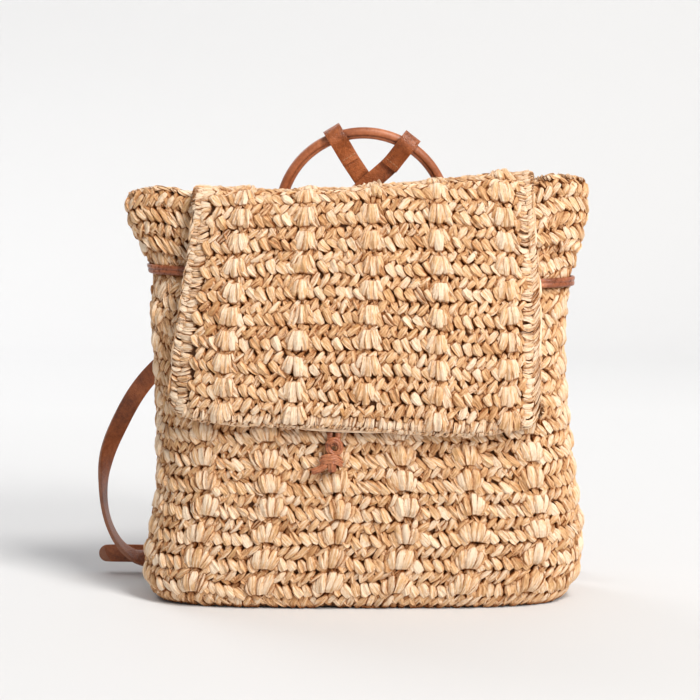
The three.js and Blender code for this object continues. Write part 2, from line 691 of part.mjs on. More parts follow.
// The keeper: up the back, round the ring's lowest point, and down again over itself.
function keeper() {
  const foot = ringPoint(180);
  const radius = RING_TUBE_RADIUS + KEEPER_CLEARANCE + KEEPER_THICKNESS / 2;
  const across = vec(1, 0, 0);
  const onBack = (drop, layer) => {
    const z = foot.z - drop;
    return { p: vec(foot.x, wallDepth(foot.x, z, "back") + 2 * GAP + KEEPER_THICKNESS / 2 + layer, z), across };
  };
  const second = KEEPER_THICKNESS + GAP;
  const stops = [onBack(KEEPER_TAIL, 0), onBack(0.7 * KEEPER_TAIL, 0), onBack(0.4 * KEEPER_TAIL, 0)];
  for (let degrees = 180; degrees >= 0; degrees -= 30) {
    const angle = THREE.MathUtils.degToRad(degrees);
    const p = foot.clone().add(vec(0, Math.cos(angle) * radius, Math.sin(angle) * radius));
    stops.push({ p, across });
  }
  stops.push(onBack(0.4 * KEEPER_TAIL, second), onBack(0.7 * KEEPER_TAIL, second));
  stops.push(onBack(KEEPER_TAIL, second));
  return namedMesh("ring_keeper", band(stops, KEEPER_WIDTH, KEEPER_THICKNESS), LEATHER);
}

// The drawstring's way round the sack. It lies against the wall and leans as the wall does there.
function laceStop(angle) {
  const off = LACE_CLEARANCE + LACE_THICKNESS / 2;
  const p = vec(0, 0, LACE_HEIGHT);
  const wallAt = (rise) => wallPoint(shareAt(p.x, p.z) + rise / BODY_HEIGHT, angle, -off);
  for (let i = 0; i < 4; i += 1) {
    const wall = wallAt(0);
    p.set(wall.x, wall.y, LACE_HEIGHT + LACE_TILT * wall.x);
  }
  return { p, across: wallAt(LACE_WIDTH / 2).sub(wallAt(-LACE_WIDTH / 2)).normalize() };
}

function drawstring() {
  const { left, right, square } = sectionAt(LACE_HEIGHT / BODY_HEIGHT);
  const frontAngle = (x) => -Math.acos(Math.sign(x) * (Math.abs(x) / (x < 0 ? left : right)) ** (square / 2));
  const start = frontAngle(LACE_MEET + LACE_MOUTH / 2);
  const end = frontAngle(LACE_MEET - LACE_MOUTH / 2) + 2 * Math.PI;
  const turns = evenAngles(LACE_STEPS, LACE_HEIGHT / BODY_HEIGHT)
    .map((angle) => (angle > end - 0.03 ? angle - 2 * Math.PI : angle))
    .filter((angle) => angle > start + 0.03)
    .sort((a, b) => a - b);
  const stops = [start, ...turns, end].map(laceStop);
  return namedMesh("drawstring", band(stops, LACE_WIDTH, LACE_THICKNESS), LEATHER);
}

// The two free ends leave the drawstring sideways, turn down under the flap and meet in the knot.
// Each row has the distance from the middle, the height and the distance off the front wall.
const TIE_ROUTE = [
  { aside: 17.6, z: 222.2, off: 2.2 },
  { aside: 14.8, z: 221.9, off: 2.4 },
  { aside: 11.6, z: 220.2, off: 2.6 },
  { aside: 9.0, z: 217.0, off: 2.8 },
  { aside: 7.3, z: 212.6, off: 2.8 },
  { aside: 6.2, z: 207.0, off: 2.8 },
  { aside: 5.2, z: 198.0, off: 2.7 },
  { aside: 4.4, z: 186.0, off: 2.6 },
  { aside: 3.9, z: 172.0, off: 2.6 },
  { aside: 3.7, z: 158.0, off: 2.6 },
  { aside: 3.6, z: 145.0, off: 2.7 },
  { aside: 3.4, z: 134.0, off: 2.8 },
  { aside: 3.0, z: 126.0, off: 3.0 },
  { aside: 2.4, z: 118.0, off: 3.4 },
];

function tie(name, side) {
  const points = TIE_ROUTE.map((row) => {
    const x = LACE_MEET + side * row.aside;
    return vec(x, -wallDepth(x, row.z, "front") - row.off, row.z);
  });
  const circle = new THREE.Shape();
  for (let i = 0; i < TIE_SIDES; i += 1) {
    const angle = (i / TIE_SIDES) * 2 * Math.PI;
    const [x, y] = [(Math.cos(angle) * TIE_DIAMETER) / 2, (Math.sin(angle) * TIE_DIAMETER) / 2];
    if (i === 0) circle.moveTo(x, y);
    else circle.lineTo(x, y);
  }
  circle.closePath();
  const geometry = new THREE.ExtrudeGeometry(circle, {
    steps: TIE_STEPS,
    curveSegments: 1,
    extrudePath: new THREE.CatmullRomCurve3(points, false, "centripetal"),
  });
  return namedMesh(name, geometry, LEATHER);
}

// The knot: a round body with one cut end that points down to the left.
function knot() {
  const z = KNOT_TOP - KNOT_SIZE.z / 2;
  const x = LACE_MEET - KNOT_ASIDE;
  const y = -wallDepth(LACE_MEET, z, "front") - KNOT_CLEARANCE - KNOT_SIZE.y / 2;
  const ball = new THREE.SphereGeometry(0.5, 12, 8);
  ball.rotateX(Math.PI / 2);
  ball.scale(KNOT_SIZE.x, KNOT_SIZE.y, KNOT_SIZE.z);
  ball.translate(x, y, z);
  const end = new THREE.CylinderGeometry(TIE_DIAMETER / 2, TIE_DIAMETER / 2, KNOT_END.length, TIE_SIDES);
  end.rotateZ(THREE.MathUtils.degToRad(KNOT_END.turn));
  end.rotateX(Math.PI / 2);
  end.translate(x - KNOT_END.aside, y - KNOT_END.front, z - KNOT_END.drop);
  return namedMesh("tie_knot", geometryOf(solidOf(ball).add(solidOf(end))), LEATHER);
}

const root = new THREE.Group();
root.add(body(), flap(), ringHandle(), keeper());
root.add(strap("strap_left", loopStops(30.9, -38), runStops(LEFT_AT_RING, LEFT_RUN), leftSeat));
root.add(strap("strap_right", loopStops(-18.7, 31), runStops(RIGHT_AT_RING, RIGHT_RUN), rightSeat));
root.add(slider("slider_left", leftSeat), slider("slider_right", rightSeat));
root.add(anchor("anchor_left", leftSeat), anchor("anchor_right", rightSeat));
root.add(drawstring(), tie("tie_left", -1), tie("tie_right", 1), knot());

export default root;
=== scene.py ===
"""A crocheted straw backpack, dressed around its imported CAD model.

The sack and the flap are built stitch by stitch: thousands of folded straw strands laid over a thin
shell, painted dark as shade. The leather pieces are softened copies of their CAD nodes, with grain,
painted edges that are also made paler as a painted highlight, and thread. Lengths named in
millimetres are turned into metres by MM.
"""
import math

import bmesh
import bpy
import numpy as np
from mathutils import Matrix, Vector
from mathutils.bvhtree import BVHTree


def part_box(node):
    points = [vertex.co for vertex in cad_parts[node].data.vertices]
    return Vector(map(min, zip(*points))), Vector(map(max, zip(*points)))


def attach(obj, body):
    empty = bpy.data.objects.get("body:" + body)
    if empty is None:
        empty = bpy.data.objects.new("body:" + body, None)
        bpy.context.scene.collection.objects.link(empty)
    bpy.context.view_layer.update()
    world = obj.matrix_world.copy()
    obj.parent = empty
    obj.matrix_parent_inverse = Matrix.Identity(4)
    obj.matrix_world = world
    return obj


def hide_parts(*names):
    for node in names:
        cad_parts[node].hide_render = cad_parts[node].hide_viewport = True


MM = 0.001
rng = np.random.default_rng(17)

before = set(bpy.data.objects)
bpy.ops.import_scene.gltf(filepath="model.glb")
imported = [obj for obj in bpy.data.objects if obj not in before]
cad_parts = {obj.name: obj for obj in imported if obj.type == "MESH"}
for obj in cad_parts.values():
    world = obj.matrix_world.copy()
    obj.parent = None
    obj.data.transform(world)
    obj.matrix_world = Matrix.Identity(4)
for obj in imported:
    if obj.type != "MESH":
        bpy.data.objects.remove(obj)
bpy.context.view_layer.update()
scene = bpy.context.scene

# Sizes that part.mjs also names, in millimetres. The lean is a slope.
RING_RADIUS = 58.9
RING_TUBE = 3.8
RING_LEAN = 0.2
LACE_HEIGHT = 222.0
TIE_DIAMETER = 3.4
STRAP_WIDTH = 12.8
KEEPER_WIDTH = 14.0


def linked(name, data):
    """A new object of the data, in the scene."""
    obj = bpy.data.objects.new(name, data)
    scene.collection.objects.link(obj)
    return obj


# The camera that the reference photograph was taken with.
CAMERA_PLACE = (-9.5, -1250.0, 285.0)
CAMERA_DOWN = 5.28
CAMERA_FOCAL = 93.19


def camera():
    data = bpy.data.cameras.new("camera")
    data.lens = CAMERA_FOCAL
    data.sensor_width = 36.0
    data.clip_start = 0.05
    obj = linked("camera", data)
    obj.location = [v * MM for v in CAMERA_PLACE]
    obj.rotation_euler = (math.radians(90.0 - CAMERA_DOWN), 0.0, 0.0)
    scene.camera = obj


camera()


def ray_tree(node):
    """A tree of a CAD node's faces, for rays."""
    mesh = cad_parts[node].data
    return BVHTree.FromPolygons([v.co for v in mesh.vertices], [p.vertices for p in mesh.polygons])


SACK = ray_tree("body")
FLAP = ray_tree("flap")


def unit(vectors):
    return vectors / np.maximum(np.linalg.norm(vectors, axis=-1, keepdims=True), 1e-12)


def eased(line):
    """The rows with each one but the ends drawn towards its neighbours."""
    inner = 0.5 * line[1:-1] + 0.25 * (line[:-2] + line[2:])
    return np.concatenate([line[:1], inner, line[-1:]], 0)


def smoothed(grid, wraps, times=3):
    """The grid with each point drawn towards its neighbours along both ways."""
    for _ in range(times):
        if wraps:
            grid = 0.5 * grid + 0.25 * (np.roll(grid, 1, 1) + np.roll(grid, -1, 1))
        else:
            grid = eased(grid.swapaxes(0, 1)).swapaxes(0, 1)
        grid = eased(grid)
    return grid


def evenly(path, count):
    """That many points at even steps along an open path. Columns past the third follow along."""
    walked = np.concatenate([[0.0], np.cumsum(np.linalg.norm(np.diff(path, axis=0), axis=1))])
    wanted = np.linspace(0.0, walked[-1], count)
    return np.stack([np.interp(wanted, walked, column) for column in path.T], 1)


def last_hit(test, inside, outside, halvings=14):
    """The last place on the way from inside to outside where test still hits."""
    for _ in range(halvings):
        middle = (inside + outside) / 2
        if test(middle):
            inside = middle
        else:
            outside = middle
    return inside


class Surface:
    """A skin that stitches lie on: a grid of points, read at any u across and v up it, from 0 to 1.

    du x dv points outwards. A skin that wraps is closed along u.
    """

    def __init__(self, points, wraps=False):
        self.points = points
        self.wraps = wraps
        if wraps:
            across = np.roll(points, -1, 1) - np.roll(points, 1, 1)
        else:
            across = np.gradient(points, axis=1)
        along = np.gradient(points, axis=0)
        self.normals = unit(np.cross(across, along))
        ring = np.concatenate([points, points[:, :1]], 1) if wraps else points
        self.width = np.linalg.norm(np.diff(ring, axis=1), axis=2).sum(1)
        self.height = np.linalg.norm(np.diff(points, axis=0), axis=2).sum(0)

    def at(self, u, v, lift):
        """Points at u and v, raised by lift metres off the skin."""
        rows, columns = self.points.shape[:2]
        r = np.clip(v, 0.0, 1.0) * (rows - 1)
        c = np.mod(u, 1.0) * columns if self.wraps else np.clip(u, 0.0, 1.0) * (columns - 1)
        r0 = np.minimum(r.astype(int), rows - 2)
        c0 = np.minimum(c.astype(int), columns - (1 if self.wraps else 2))
        c1 = (c0 + 1) % columns
        fr, fc = (r - r0)[..., None], (c - c0)[..., None]

        def blend(grid):
            low = grid[r0, c0] * (1 - fc) + grid[r0, c1] * fc
            high = grid[r0 + 1, c0] * (1 - fc) + grid[r0 + 1, c1] * fc
            return low * (1 - fr) + high * fr

        return blend(self.points) + unit(blend(self.normals)) * lift[..., None]

    def spans(self, u, v):
        """The lengths in metres of one whole u and one whole v there."""
        rows, columns = self.points.shape[:2]
        r = np.clip(v * (rows - 1), 0, rows - 1).astype(int)
        c = np.clip(np.mod(u, 1.0) * (columns - 1), 0, columns - 1).astype(int)
        return self.width[r], self.height[c]


SACK_COLUMNS = 420
SACK_LINES = 110
SACK_HALF = (0.152, 0.058)
# How far inside the solid's surface the skin is that the stitches stand on, and its lowest line, as
# a share of the way up.
SACK_INSET = 1.3 * MM
SACK_START = 0.0015
# Heights in metres between which the rim lies, and how far below it the last line stays.
RIM_RANGE = (0.25, 0.31)
RIM_MARGIN = 0.0002


def sack_direction(turn):
    """The outward direction at a share of the way round, from the back's middle by the left side."""
    angle = math.pi / 2 + 2 * math.pi * turn
    return Vector((SACK_HALF[0] * math.cos(angle), SACK_HALF[1] * math.sin(angle), 0.0)).normalized()


def sack_hit(direction, height):
    """The sack's outside in that direction from the middle line, or None above the rim."""
    return SACK.ray_cast(direction * 0.3 + Vector((0, 0, height)), -direction, 0.297)[0]


def sack_surface():
    directions = [sack_direction(i / SACK_COLUMNS) for i in range(SACK_COLUMNS)]
    rims = [last_hit(lambda z: sack_hit(d, z), *RIM_RANGE, 12) for d in directions]
    lines = []
    for j in range(SACK_LINES):
        share = SACK_START + (1 - SACK_START) * j / (SACK_LINES - 1)
        ring = []
        for direction, rim in zip(directions, rims):
            hit = sack_hit(direction, share * (rim - RIM_MARGIN))
            ring.append(hit if hit else ring[-1])
        lines.append(evenly(np.array(ring + ring[:1]), SACK_COLUMNS + 1)[:-1])
    surface = Surface(smoothed(np.array(lines), True), True)
    return Surface(surface.points - surface.normals * (1, 1, 0) * SACK_INSET, True)


# The line along X, as Y and Z in metres, that the flap is wrapped around, and the angles round it,
# in degrees, from straight up to the front.
FLAP_AXIS = (0.0, 0.2)
FLAP_BACK = -12
FLAP_TOP = 40
FLAP_LOW = 118
FLAP_LINES = 96
FLAP_COLUMNS = 96
# How far inside its edges the flap's skin starts: a share of the width, and an angle in radians.
FLAP_MARGIN = 0.004


def flap_hit(x, angle):
    """The flap's outside on a ray towards its axis. angle is 0 straight up and grows to the front."""
    out = Vector((0.0, -math.sin(angle), math.cos(angle)))
    return FLAP.ray_cast(Vector((x, *FLAP_AXIS)) + out * 0.25, -out, 0.24)[0]


def flap_surface():
    """The flap's outside: v runs from the hem over the fold to the back rim, u from left to right."""
    low = math.radians(FLAP_LOW)
    angles = np.linspace(math.radians(FLAP_BACK), low, 24)
    sides = [
        np.array([last_hit(lambda x: flap_hit(x, a), 0.0, far) for a in angles]) for far in (-0.15, 0.15)
    ]
    slopes = [np.polyfit(angles[-8:], side[-8:], 1) for side in sides]

    def x_at(angle, share):
        if angle > low:
            left, right = (np.polyval(slope, angle) for slope in slopes)
        else:
            left, right = (np.interp(angle, angles, side) for side in sides)
        return left + (right - left) * share

    columns = []
    for share in np.linspace(FLAP_MARGIN, 1 - FLAP_MARGIN, FLAP_COLUMNS):

        def hit(angle):
            return flap_hit(x_at(angle, share), angle)

        hem = last_hit(hit, math.radians(FLAP_TOP), math.radians(160)) - FLAP_MARGIN
        back = last_hit(hit, 0.0, math.radians(-40)) + FLAP_MARGIN
        line = np.array([hit(a) for a in np.linspace(hem, back, 4 * FLAP_LINES)])
        columns.append(evenly(line, FLAP_LINES))
    return Surface(smoothed(np.array(columns).transpose(1, 0, 2), False))


def base_surface(sack):
    """The sack's base, from its middle to its edge."""
    edge = sack.points[0]
    middle = edge.mean(0)
    grid = np.array([middle + (edge - middle) * share for share in np.linspace(0.04, 1.0, 24)])
    grid[:, :, 2] = 1.2 * MM
    return Surface(grid, True)


def dressed(obj, slot, *nodes):
    """Lets the piece ride with the bag and hides the CAD nodes that it stands for. The slot is not used."""
    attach(obj, "root")
    if nodes:
        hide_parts(*nodes)
    return obj


def mesh_object(name, points, faces, material, smooth=True):
    """An object made from an array of points and a list of arrays of faces."""
    mesh = bpy.data.meshes.new(name)
    sizes = np.concatenate([np.full(len(f), f.shape[1]) for f in faces])
    corners = np.concatenate([f.ravel() for f in faces])
    mesh.vertices.add(len(points))
    mesh.vertices.foreach_set("co", np.asarray(points, np.float32).ravel())
    mesh.loops.add(len(corners))
    mesh.loops.foreach_set("vertex_index", corners.astype(np.int32))
    mesh.polygons.add(len(sizes))
    starts = np.concatenate([[0], np.cumsum(sizes)[:-1]])
    mesh.polygons.foreach_set("loop_start", starts.astype(np.int32))
    mesh.update(calc_edges=True)
    if smooth:
        mesh.shade_smooth()
    else:
        mesh.shade_flat()
    mesh.materials.append(material)
    return linked(name, mesh)


def grid_faces(rows, columns, wraps, start=0, turned=False):
    """The quads of a grid of points numbered row by row from start."""
    last = columns if wraps else columns - 1
    r, c = np.meshgrid(np.arange(rows - 1), np.arange(last), indexing="ij")
    d = (c + 1) % columns
    quads = np.stack([r * columns + c, r * columns + d, (r + 1) * columns + d, (r + 1) * columns + c], -1)
    quads = quads.reshape(-1, 4) + start
    return quads[:, ::-1] if turned else quads


def capped(rows, columns):
    """The faces of a closed tube of rows, with a point at each end that is numbered after them."""
    ring = np.arange(columns)
    following = (ring + 1) % columns
    first, last = rows * columns, (rows - 1) * columns
    low = np.stack([np.full(columns, first), following, ring], 1)
    high = np.stack([np.full(columns, first + 1), last + ring, last + following], 1)
    return grid_faces(rows, columns, True), np.concatenate([low, high])


# A leaf's sizes where a stitch names none, in millimetres. blunt rounds its ends, flare widens its
# head, bow bends it, and base, rise and tilt lift it, along its length and across.
LEAF = dict(height=2.4, base=0.0, rise=0.0, tilt=0.0, bow=0.0, blunt=0.5, flare=0.0, tone=0.5)


class Stitches:
    """Straw leaves waiting to be laid on a skin. Lengths are in millimetres, angles in degrees."""

    def __init__(self, rows=()):
        self.rows = list(rows)

    def add(self, u, v, angle, length, width, **more):
        self.rows.append({**LEAF, "u": u, "v": v, "angle": angle, "length": length, "width": width, **more})

    def split(self, share):
        """Two lots of the leaves: those below that share of the way up, and the others."""
        low = [row for row in self.rows if row["v"] < share]
        return Stitches(low), Stitches(row for row in self.rows if row["v"] >= share)

    def lay(self, name, surface, rings=7, spans=5, sunk=1.9, floor=None):
        """One object of all the leaves, each a crumpled pad with its rim sunk into the skin."""
        data = {key: np.array([row[key] for row in self.rows]) for key in self.rows[0]}
        count = len(self.rows)
        s = np.linspace(0.0, 1.0, rings)[None, 1:-1, None]
        w = np.linspace(-1.0, 1.0, spans + 1)[None, None, :]
        w = 1.4 * w - 0.4 * w**3
        leaf = {key: value[:, None, None] for key, value in data.items()}
        fullest = s ** (1 + 0.6 * leaf["flare"])
        outline = np.sin(math.pi * fullest) ** leaf["blunt"] * (1 + leaf["flare"] * (s - 0.5))
        crown = np.sin(math.pi * fullest) ** 0.34 * (1 - np.abs(w) ** 4) ** 0.5
        inner = (count, rings - 2, spans + 1)
        creases = rng.normal(0.0, 0.46, (count, 1, spans + 1)) + rng.normal(0.0, 0.12, inner)
        slip = rng.normal(0.0, 0.05, inner)
        side = (w + slip) * leaf["width"] / 2 * outline + leaf["bow"] * np.sin(math.pi * s)
        forth = (s - 0.5) * leaf["length"] + 0 * w
        slope = leaf["base"] + leaf["rise"] * (s - 0.5) + leaf["tilt"] * w
        lift = -sunk + (leaf["height"] + creases) * crown + slope * np.minimum(crown * 2.2, 1.0)
        tips = np.array([[-0.5, 0.5]]) * data["length"][:, None]
        side = np.concatenate([side.reshape(count, -1), np.zeros((count, 2))], 1)
        forth = np.concatenate([forth.reshape(count, -1), tips], 1)
        lift = np.concatenate([lift.reshape(count, -1), np.full((count, 2), -sunk)], 1)
        turn = np.radians(data["angle"])[:, None]
        across = (forth * np.sin(turn) + side * np.cos(turn)) * MM
        upward = (forth * np.cos(turn) - side * np.sin(turn)) * MM
        along_span, up_span = surface.spans(data["u"], data["v"])
        u = data["u"][:, None] + across / along_span[:, None]
        v = data["v"][:, None] + upward / up_span[:, None]
        points = surface.at(u, v, lift * MM)
        if floor is not None:
            points[..., 2] = np.maximum(points[..., 2], floor)
        per = points.shape[1]
        shift = (np.arange(count) * per)[:, None, None]
        faces = [(one[None] + shift).reshape(-1, one.shape[1]) for one in capped(rings - 2, spans + 1)]
        obj = mesh_object(name, points.reshape(-1, 3), faces, STRAW, smooth=False)
        lot = np.repeat(rng.uniform(0, 100, (count, 1)), per, 1)
        tone = np.repeat(data["tone"][:, None], per, 1)
        # shade holds each point's tone and its lift; the material paints shade on the low parts from the
        # lift.
        for key, columns in (("strand", (side, forth, lot)), ("shade", (tone, lift, 0 * lift))):
            attribute = obj.data.attributes.new(key, "FLOAT_VECTOR", "POINT")
            attribute.data.foreach_set("vector", np.stack(columns, 2).astype(np.float32).ravel())
        return dressed(obj, "straw")


# Straw colours: painted shade for the lowest places, then the strands' own tones from warm to pale, and
# gold.
STRAW_PAINTED_SHADE = (0.105, 0.026, 0.004, 1)
STRAW_WARM = (0.56, 0.28, 0.115, 1)
STRAW_MID = (0.86, 0.54, 0.29, 1)
STRAW_PALE = (0.96, 0.76, 0.56, 1)
STRAW_GOLD = (0.66, 0.38, 0.14, 1)
# Painted shade between the strands: what is left of a colour deep between them, halfway there, and in the
# open.
PAINTED_SHADE_DEEP = (0.095, 0.028, 0.004, 1)
PAINTED_SHADE_HALF = (0.42, 0.205, 0.066, 1)
OPEN = (1, 1, 1, 1)


class Nodes:
    """A short way to write a material's node tree."""

    def __init__(self, name):
        self.material = bpy.data.materials.new(name)
        self.material.use_nodes = True
        self.tree = self.material.node_tree
        self.tree.nodes.clear()
        self.out = self.node("ShaderNodeOutputMaterial")
        self.shader = self.node("ShaderNodeBsdfPrincipled")
        self.feed(self.out.inputs["Surface"], (self.shader, "BSDF"))

    def node(self, kind, settings=None, **inputs):
        node = self.tree.nodes.new(kind)
        for key, value in (settings or {}).items():
            setattr(node, key, value)
        for key, value in inputs.items():
            self.feed(node.inputs[int(key[1:]) if key[0] == "i" and key[1:].isdigit() else key], value)
        return node

    def feed(self, socket, value):
        """Links the socket to a node's output, or sets it to a plain value."""
        if isinstance(value, tuple) and len(value) == 2 and hasattr(value[0], "outputs"):
            self.tree.links.new(value[0].outputs[value[1]], socket)
        else:
            socket.default_value = value

    def painted(self, colour, rough, more=()):
        """The material, with its surface's colour, roughness and other inputs set."""
        for name, value in {"Base Color": colour, "Roughness": rough, **dict(more)}.items():
            self.feed(self.shader.inputs[name], value)
        return self.material

    def math(self, operation, a, b=0.0):
        return self.node("ShaderNodeMath", {"operation": operation}, i0=a, i1=b), 0

    def scaled(self, value, times, plus=0.0, clamp=False):
        """The value times one number, plus another."""
        settings = {"operation": "MULTIPLY_ADD", "use_clamp": clamp}
        return self.node("ShaderNodeMath", settings, i0=value, i1=times, i2=plus), 0

    def mix(self, factor, a, b, blend="MIX"):
        node = self.node("ShaderNodeMix", {"data_type": "RGBA", "blend_type": blend}, i0=factor, i6=a, i7=b)
        return node, 2

    def ramp(self, value, *stops):
        node = self.node("ShaderNodeValToRGB", i0=value)
        elements = node.color_ramp.elements
        while len(elements) < len(stops):
            elements.new(0.5)
        for element, (place, colour) in zip(elements, stops):
            element.position = place
            element.color = colour
        return node, 0

    def noise(self, vector, scale, detail=2.0, rough=0.5):
        return self.node("ShaderNodeTexNoise", Vector=vector, Scale=scale, Detail=detail, Roughness=rough), 0

    def stretched(self, vector, scale):
        """The vector with each of its parts scaled."""
        node = self.node("ShaderNodeMapping", i0=vector)
        node.inputs["Scale"].default_value = scale
        return node, 0

    def painted_crevice_shade(self, colour, reach, *stops):
        """The colour with painted shade: darker where other surfaces close in on it within reach metres."""
        closed = self.node("ShaderNodeAmbientOcclusion", {"samples": 2}, Distance=reach)
        return self.mix(1.0, colour, self.ramp((closed, "AO"), *stops), "MULTIPLY")

    def bump(self, height, strength, distance):
        node = self.node("ShaderNodeBump", Height=height, Strength=strength, Distance=distance)
        self.feed(self.shader.inputs["Normal"], (node, "Normal"))


def straw_material():
    """Dry straw: each strand has its own tone and streaks along it, with painted shade on its low parts and
    where other strands close in.
    """
    n = Nodes("straw")
    strand = n.node("ShaderNodeAttribute", {"attribute_name": "strand"}), "Vector"
    shade = n.node("ShaderNodeAttribute", {"attribute_name": "shade"}), "Vector"
    parts = n.node("ShaderNodeSeparateXYZ", i0=shade)
    streaks = n.noise(n.stretched(strand, (0.55, 0.07, 1.0)), 1.6, 4.0, 0.65)
    blotches = n.noise(n.stretched(strand, (0.25, 0.12, 1.0)), 1.0, 2.0)
    tone = n.math("ADD", (parts, 0), n.scaled(streaks, 2.3, -1.15))
    tone = n.math("ADD", tone, n.scaled(blotches, 0.5, -0.25))
    colour = n.ramp(tone, (0.05, STRAW_WARM), (0.45, STRAW_MID), (0.85, STRAW_PALE))
    gold = n.scaled(n.math("GREATER_THAN", n.noise(strand, 0.13), 0.6), 0.3)
    colour = n.mix(gold, colour, STRAW_GOLD)
    # Painted shade: the lower a point of a strand lies, the darker it is painted.
    colour = n.mix(n.scaled((parts, 1), -0.45, clamp=True), colour, STRAW_PAINTED_SHADE)
    # Painted shade where other strands close in.
    colour = n.painted_crevice_shade(colour, 0.0034, (0.22, PAINTED_SHADE_DEEP), (0.50, PAINTED_SHADE_HALF), (0.80, OPEN))
    n.bump(streaks, 1.0, 0.0013)
    return n.painted(colour, n.scaled(streaks, 0.25, 0.46), {"Specular IOR Level": 0.2})


def shell_material():
    """The thin skin behind the stitches, its colour painted shade: straw as dark as in deep shade, with the
    weave's lumps.
    """
    n = Nodes("straw_shell")
    place = n.node("ShaderNodeTexCoord"), "Object"
    lumps = n.node("ShaderNodeTexVoronoi", Vector=place, Scale=150.0), 0
    grain = n.noise(place, 700.0, 3.0)
    colour = n.ramp(lumps, (0.0, (0.24, 0.105, 0.035, 1)), (0.6, (0.11, 0.04, 0.012, 1)))
    colour = n.mix(n.scaled(grain, 0.4), colour, (0.18, 0.075, 0.025, 1))
    n.bump(n.math("ADD", lumps, n.scaled(grain, 0.3)), 0.9, 0.002)
    return n.painted(colour, 0.8)


STRAW = straw_material()
SHELL = shell_material()

SACK_SKIN = sack_surface()
FLAP_SKIN = flap_surface()
BASE_SKIN = base_surface(SACK_SKIN)


# How deep below the stitches' skin the shells' two faces lie.
SHELL_FRONT = 1.9 * MM
SACK_SHELL_BACK = 3.9 * MM
FLAP_SHELL_BACK = 4.2 * MM


def sack_shell():
    """The skin behind the sack's stitches: up its outside, over the rim and down its inside."""
    skin, normals = (grid[::-3, ::3][::-1] for grid in (SACK_SKIN.points, SACK_SKIN.normals))
    grid = np.concatenate([skin - normals * SHELL_FRONT, (skin - normals * SACK_SHELL_BACK)[::-1]], 0)
    grid[0, :, 2] = 1.6 * MM
    grid[-1, :, 2] = 4.2 * MM
    points = np.concatenate([grid.reshape(-1, 3), [grid[0].mean(0)], [grid[-1].mean(0)]])
    dressed(mesh_object("sack_shell", points, capped(*grid.shape[:2]), SHELL), "straw", "body")


def flap_shell():
    """The skin behind the flap's stitches, a thin closed sheet."""
    skin, normals = FLAP_SKIN.points[::2, ::2], FLAP_SKIN.normals[::2, ::2]
    sheets = [skin - normals * depth for depth in (SHELL_FRONT, FLAP_SHELL_BACK)]
    rows, columns = skin.shape[:2]
    half = rows * columns
    index = np.arange(half).reshape(rows, columns)
    border = np.concatenate([index[0], index[1:, -1], index[-1, -2::-1], index[-2:0:-1, 0]])
    following = np.roll(border, -1)
    rim = np.stack([following, border, border + half, following + half], 1)
    faces = [grid_faces(rows, columns, False), grid_faces(rows, columns, False, half, True), rim]
    points = np.concatenate(sheets).reshape(-1, 3)
    dressed(mesh_object("flap_shell", points, faces, SHELL), "straw", "flap")


SACK_STITCHES = 112
PUFF_EVERY = 7
SACK_REPEAT = 18.0
SACK_FIRST_ROW = -9.0
# Where across the sack's front, in millimetres, one column of puffs stands.
SACK_PUFF_PLACE = -17.5


def jitter(size):
    return rng.normal(0.0, size)


# The strands of a puff: place at the gathered end in millimetres, lean in degrees, length as a share
# of the puff's, width and height in millimetres.
PUFF_STRANDS = (
    (-3.2, -25, 0.8, 6.0, 4.3),
    (-2.0, -12, 0.98, 7.8, 5.3),
    (0.3, 1, 1.03, 8.4, 5.8),
    (2.2, 13, 0.99, 7.6, 5.3),
    (3.5, 26, 0.78, 6.0, 4.2),
)


def puff(stitches, u, v, du, dv, way, reach=17.6, tall=1.0):
    """Broad strands side by side, gathered at one end. way is 1 to fan upwards and -1 downwards."""
    for i in rng.permutation(len(PUFF_STRANDS)):
        place, lean, share, width, height = PUFF_STRANDS[i]
        angle = lean + jitter(2.5)
        length = reach * share * (1 + jitter(0.05))
        across = math.sin(math.radians(angle)) * length * 0.5 + place
        up = math.cos(math.radians(angle)) * length * 0.5 * way
        stitches.add(
            u + across * du, v + up * dv, angle if way > 0 else 180 - angle, length,
            width * (1 + jitter(0.1)), height=(height + jitter(0.25)) * tall,
            base=0.5 * rng.random() * tall, rise=-0.4 * tall, tilt=jitter(0.3),
            bow=lean * 0.035 + jitter(0.3), blunt=0.44, flare=-0.05, tone=0.66 + jitter(0.14),
        )


# The strands of a stitch in each of the two kinds of row, in the order in which they are laid: the
# side that it leans to, its lean, how much the lean varies, its distance from the stitch's middle as
# a share of a stitch, then length, width, height, base, rise and flare. In a tall row one broad
# strand, blunt at its foot, lies over the rows beside it. In a short row two slim ones cross.
TALL_STITCH = ((-1, 38, 7, 0.05, 14.2, 7.3, 3.3, 0.5, -0.8, -0.35),)
SHORT_STITCH = (
    (-1, 30, 9, 0.26, 12.6, 5.4, 3.0, 0.0, 0.2, 0.0),
    (1, 40, 8, 0.14, 14.4, 5.7, 3.2, 0.4, 0.5, 0.1),
)


def stitch(stitches, u, v, du, dv, pitch, way, kind, scale=1.0, tall=1.0):
    """The strands of one stitch. way is 1 where the work runs up the surface and -1 where it runs down."""
    for k, (side, lean, sway, apart, length, width, height, base, rise, flare) in enumerate(kind):
        side *= way
        angle = side * lean + jitter(sway)
        stitches.add(
            u + (side * pitch * apart + jitter(0.3)) * du, v + jitter(0.6) * dv,
            angle if way > 0 else 180 - angle, length * scale * (1 + jitter(0.07)),
            width * (1 + jitter(0.09)), height=(height + jitter(0.25)) * tall,
            base=(base + 0.3 * rng.random()) * tall, rise=rise + jitter(0.3),
            tilt=0.3 * side + jitter(0.25), bow=side * 0.5 + jitter(0.35), flare=flare,
            tone=(0.54 if len(kind) == 1 else 0.42 + 0.08 * k) + jitter(0.17),
        )


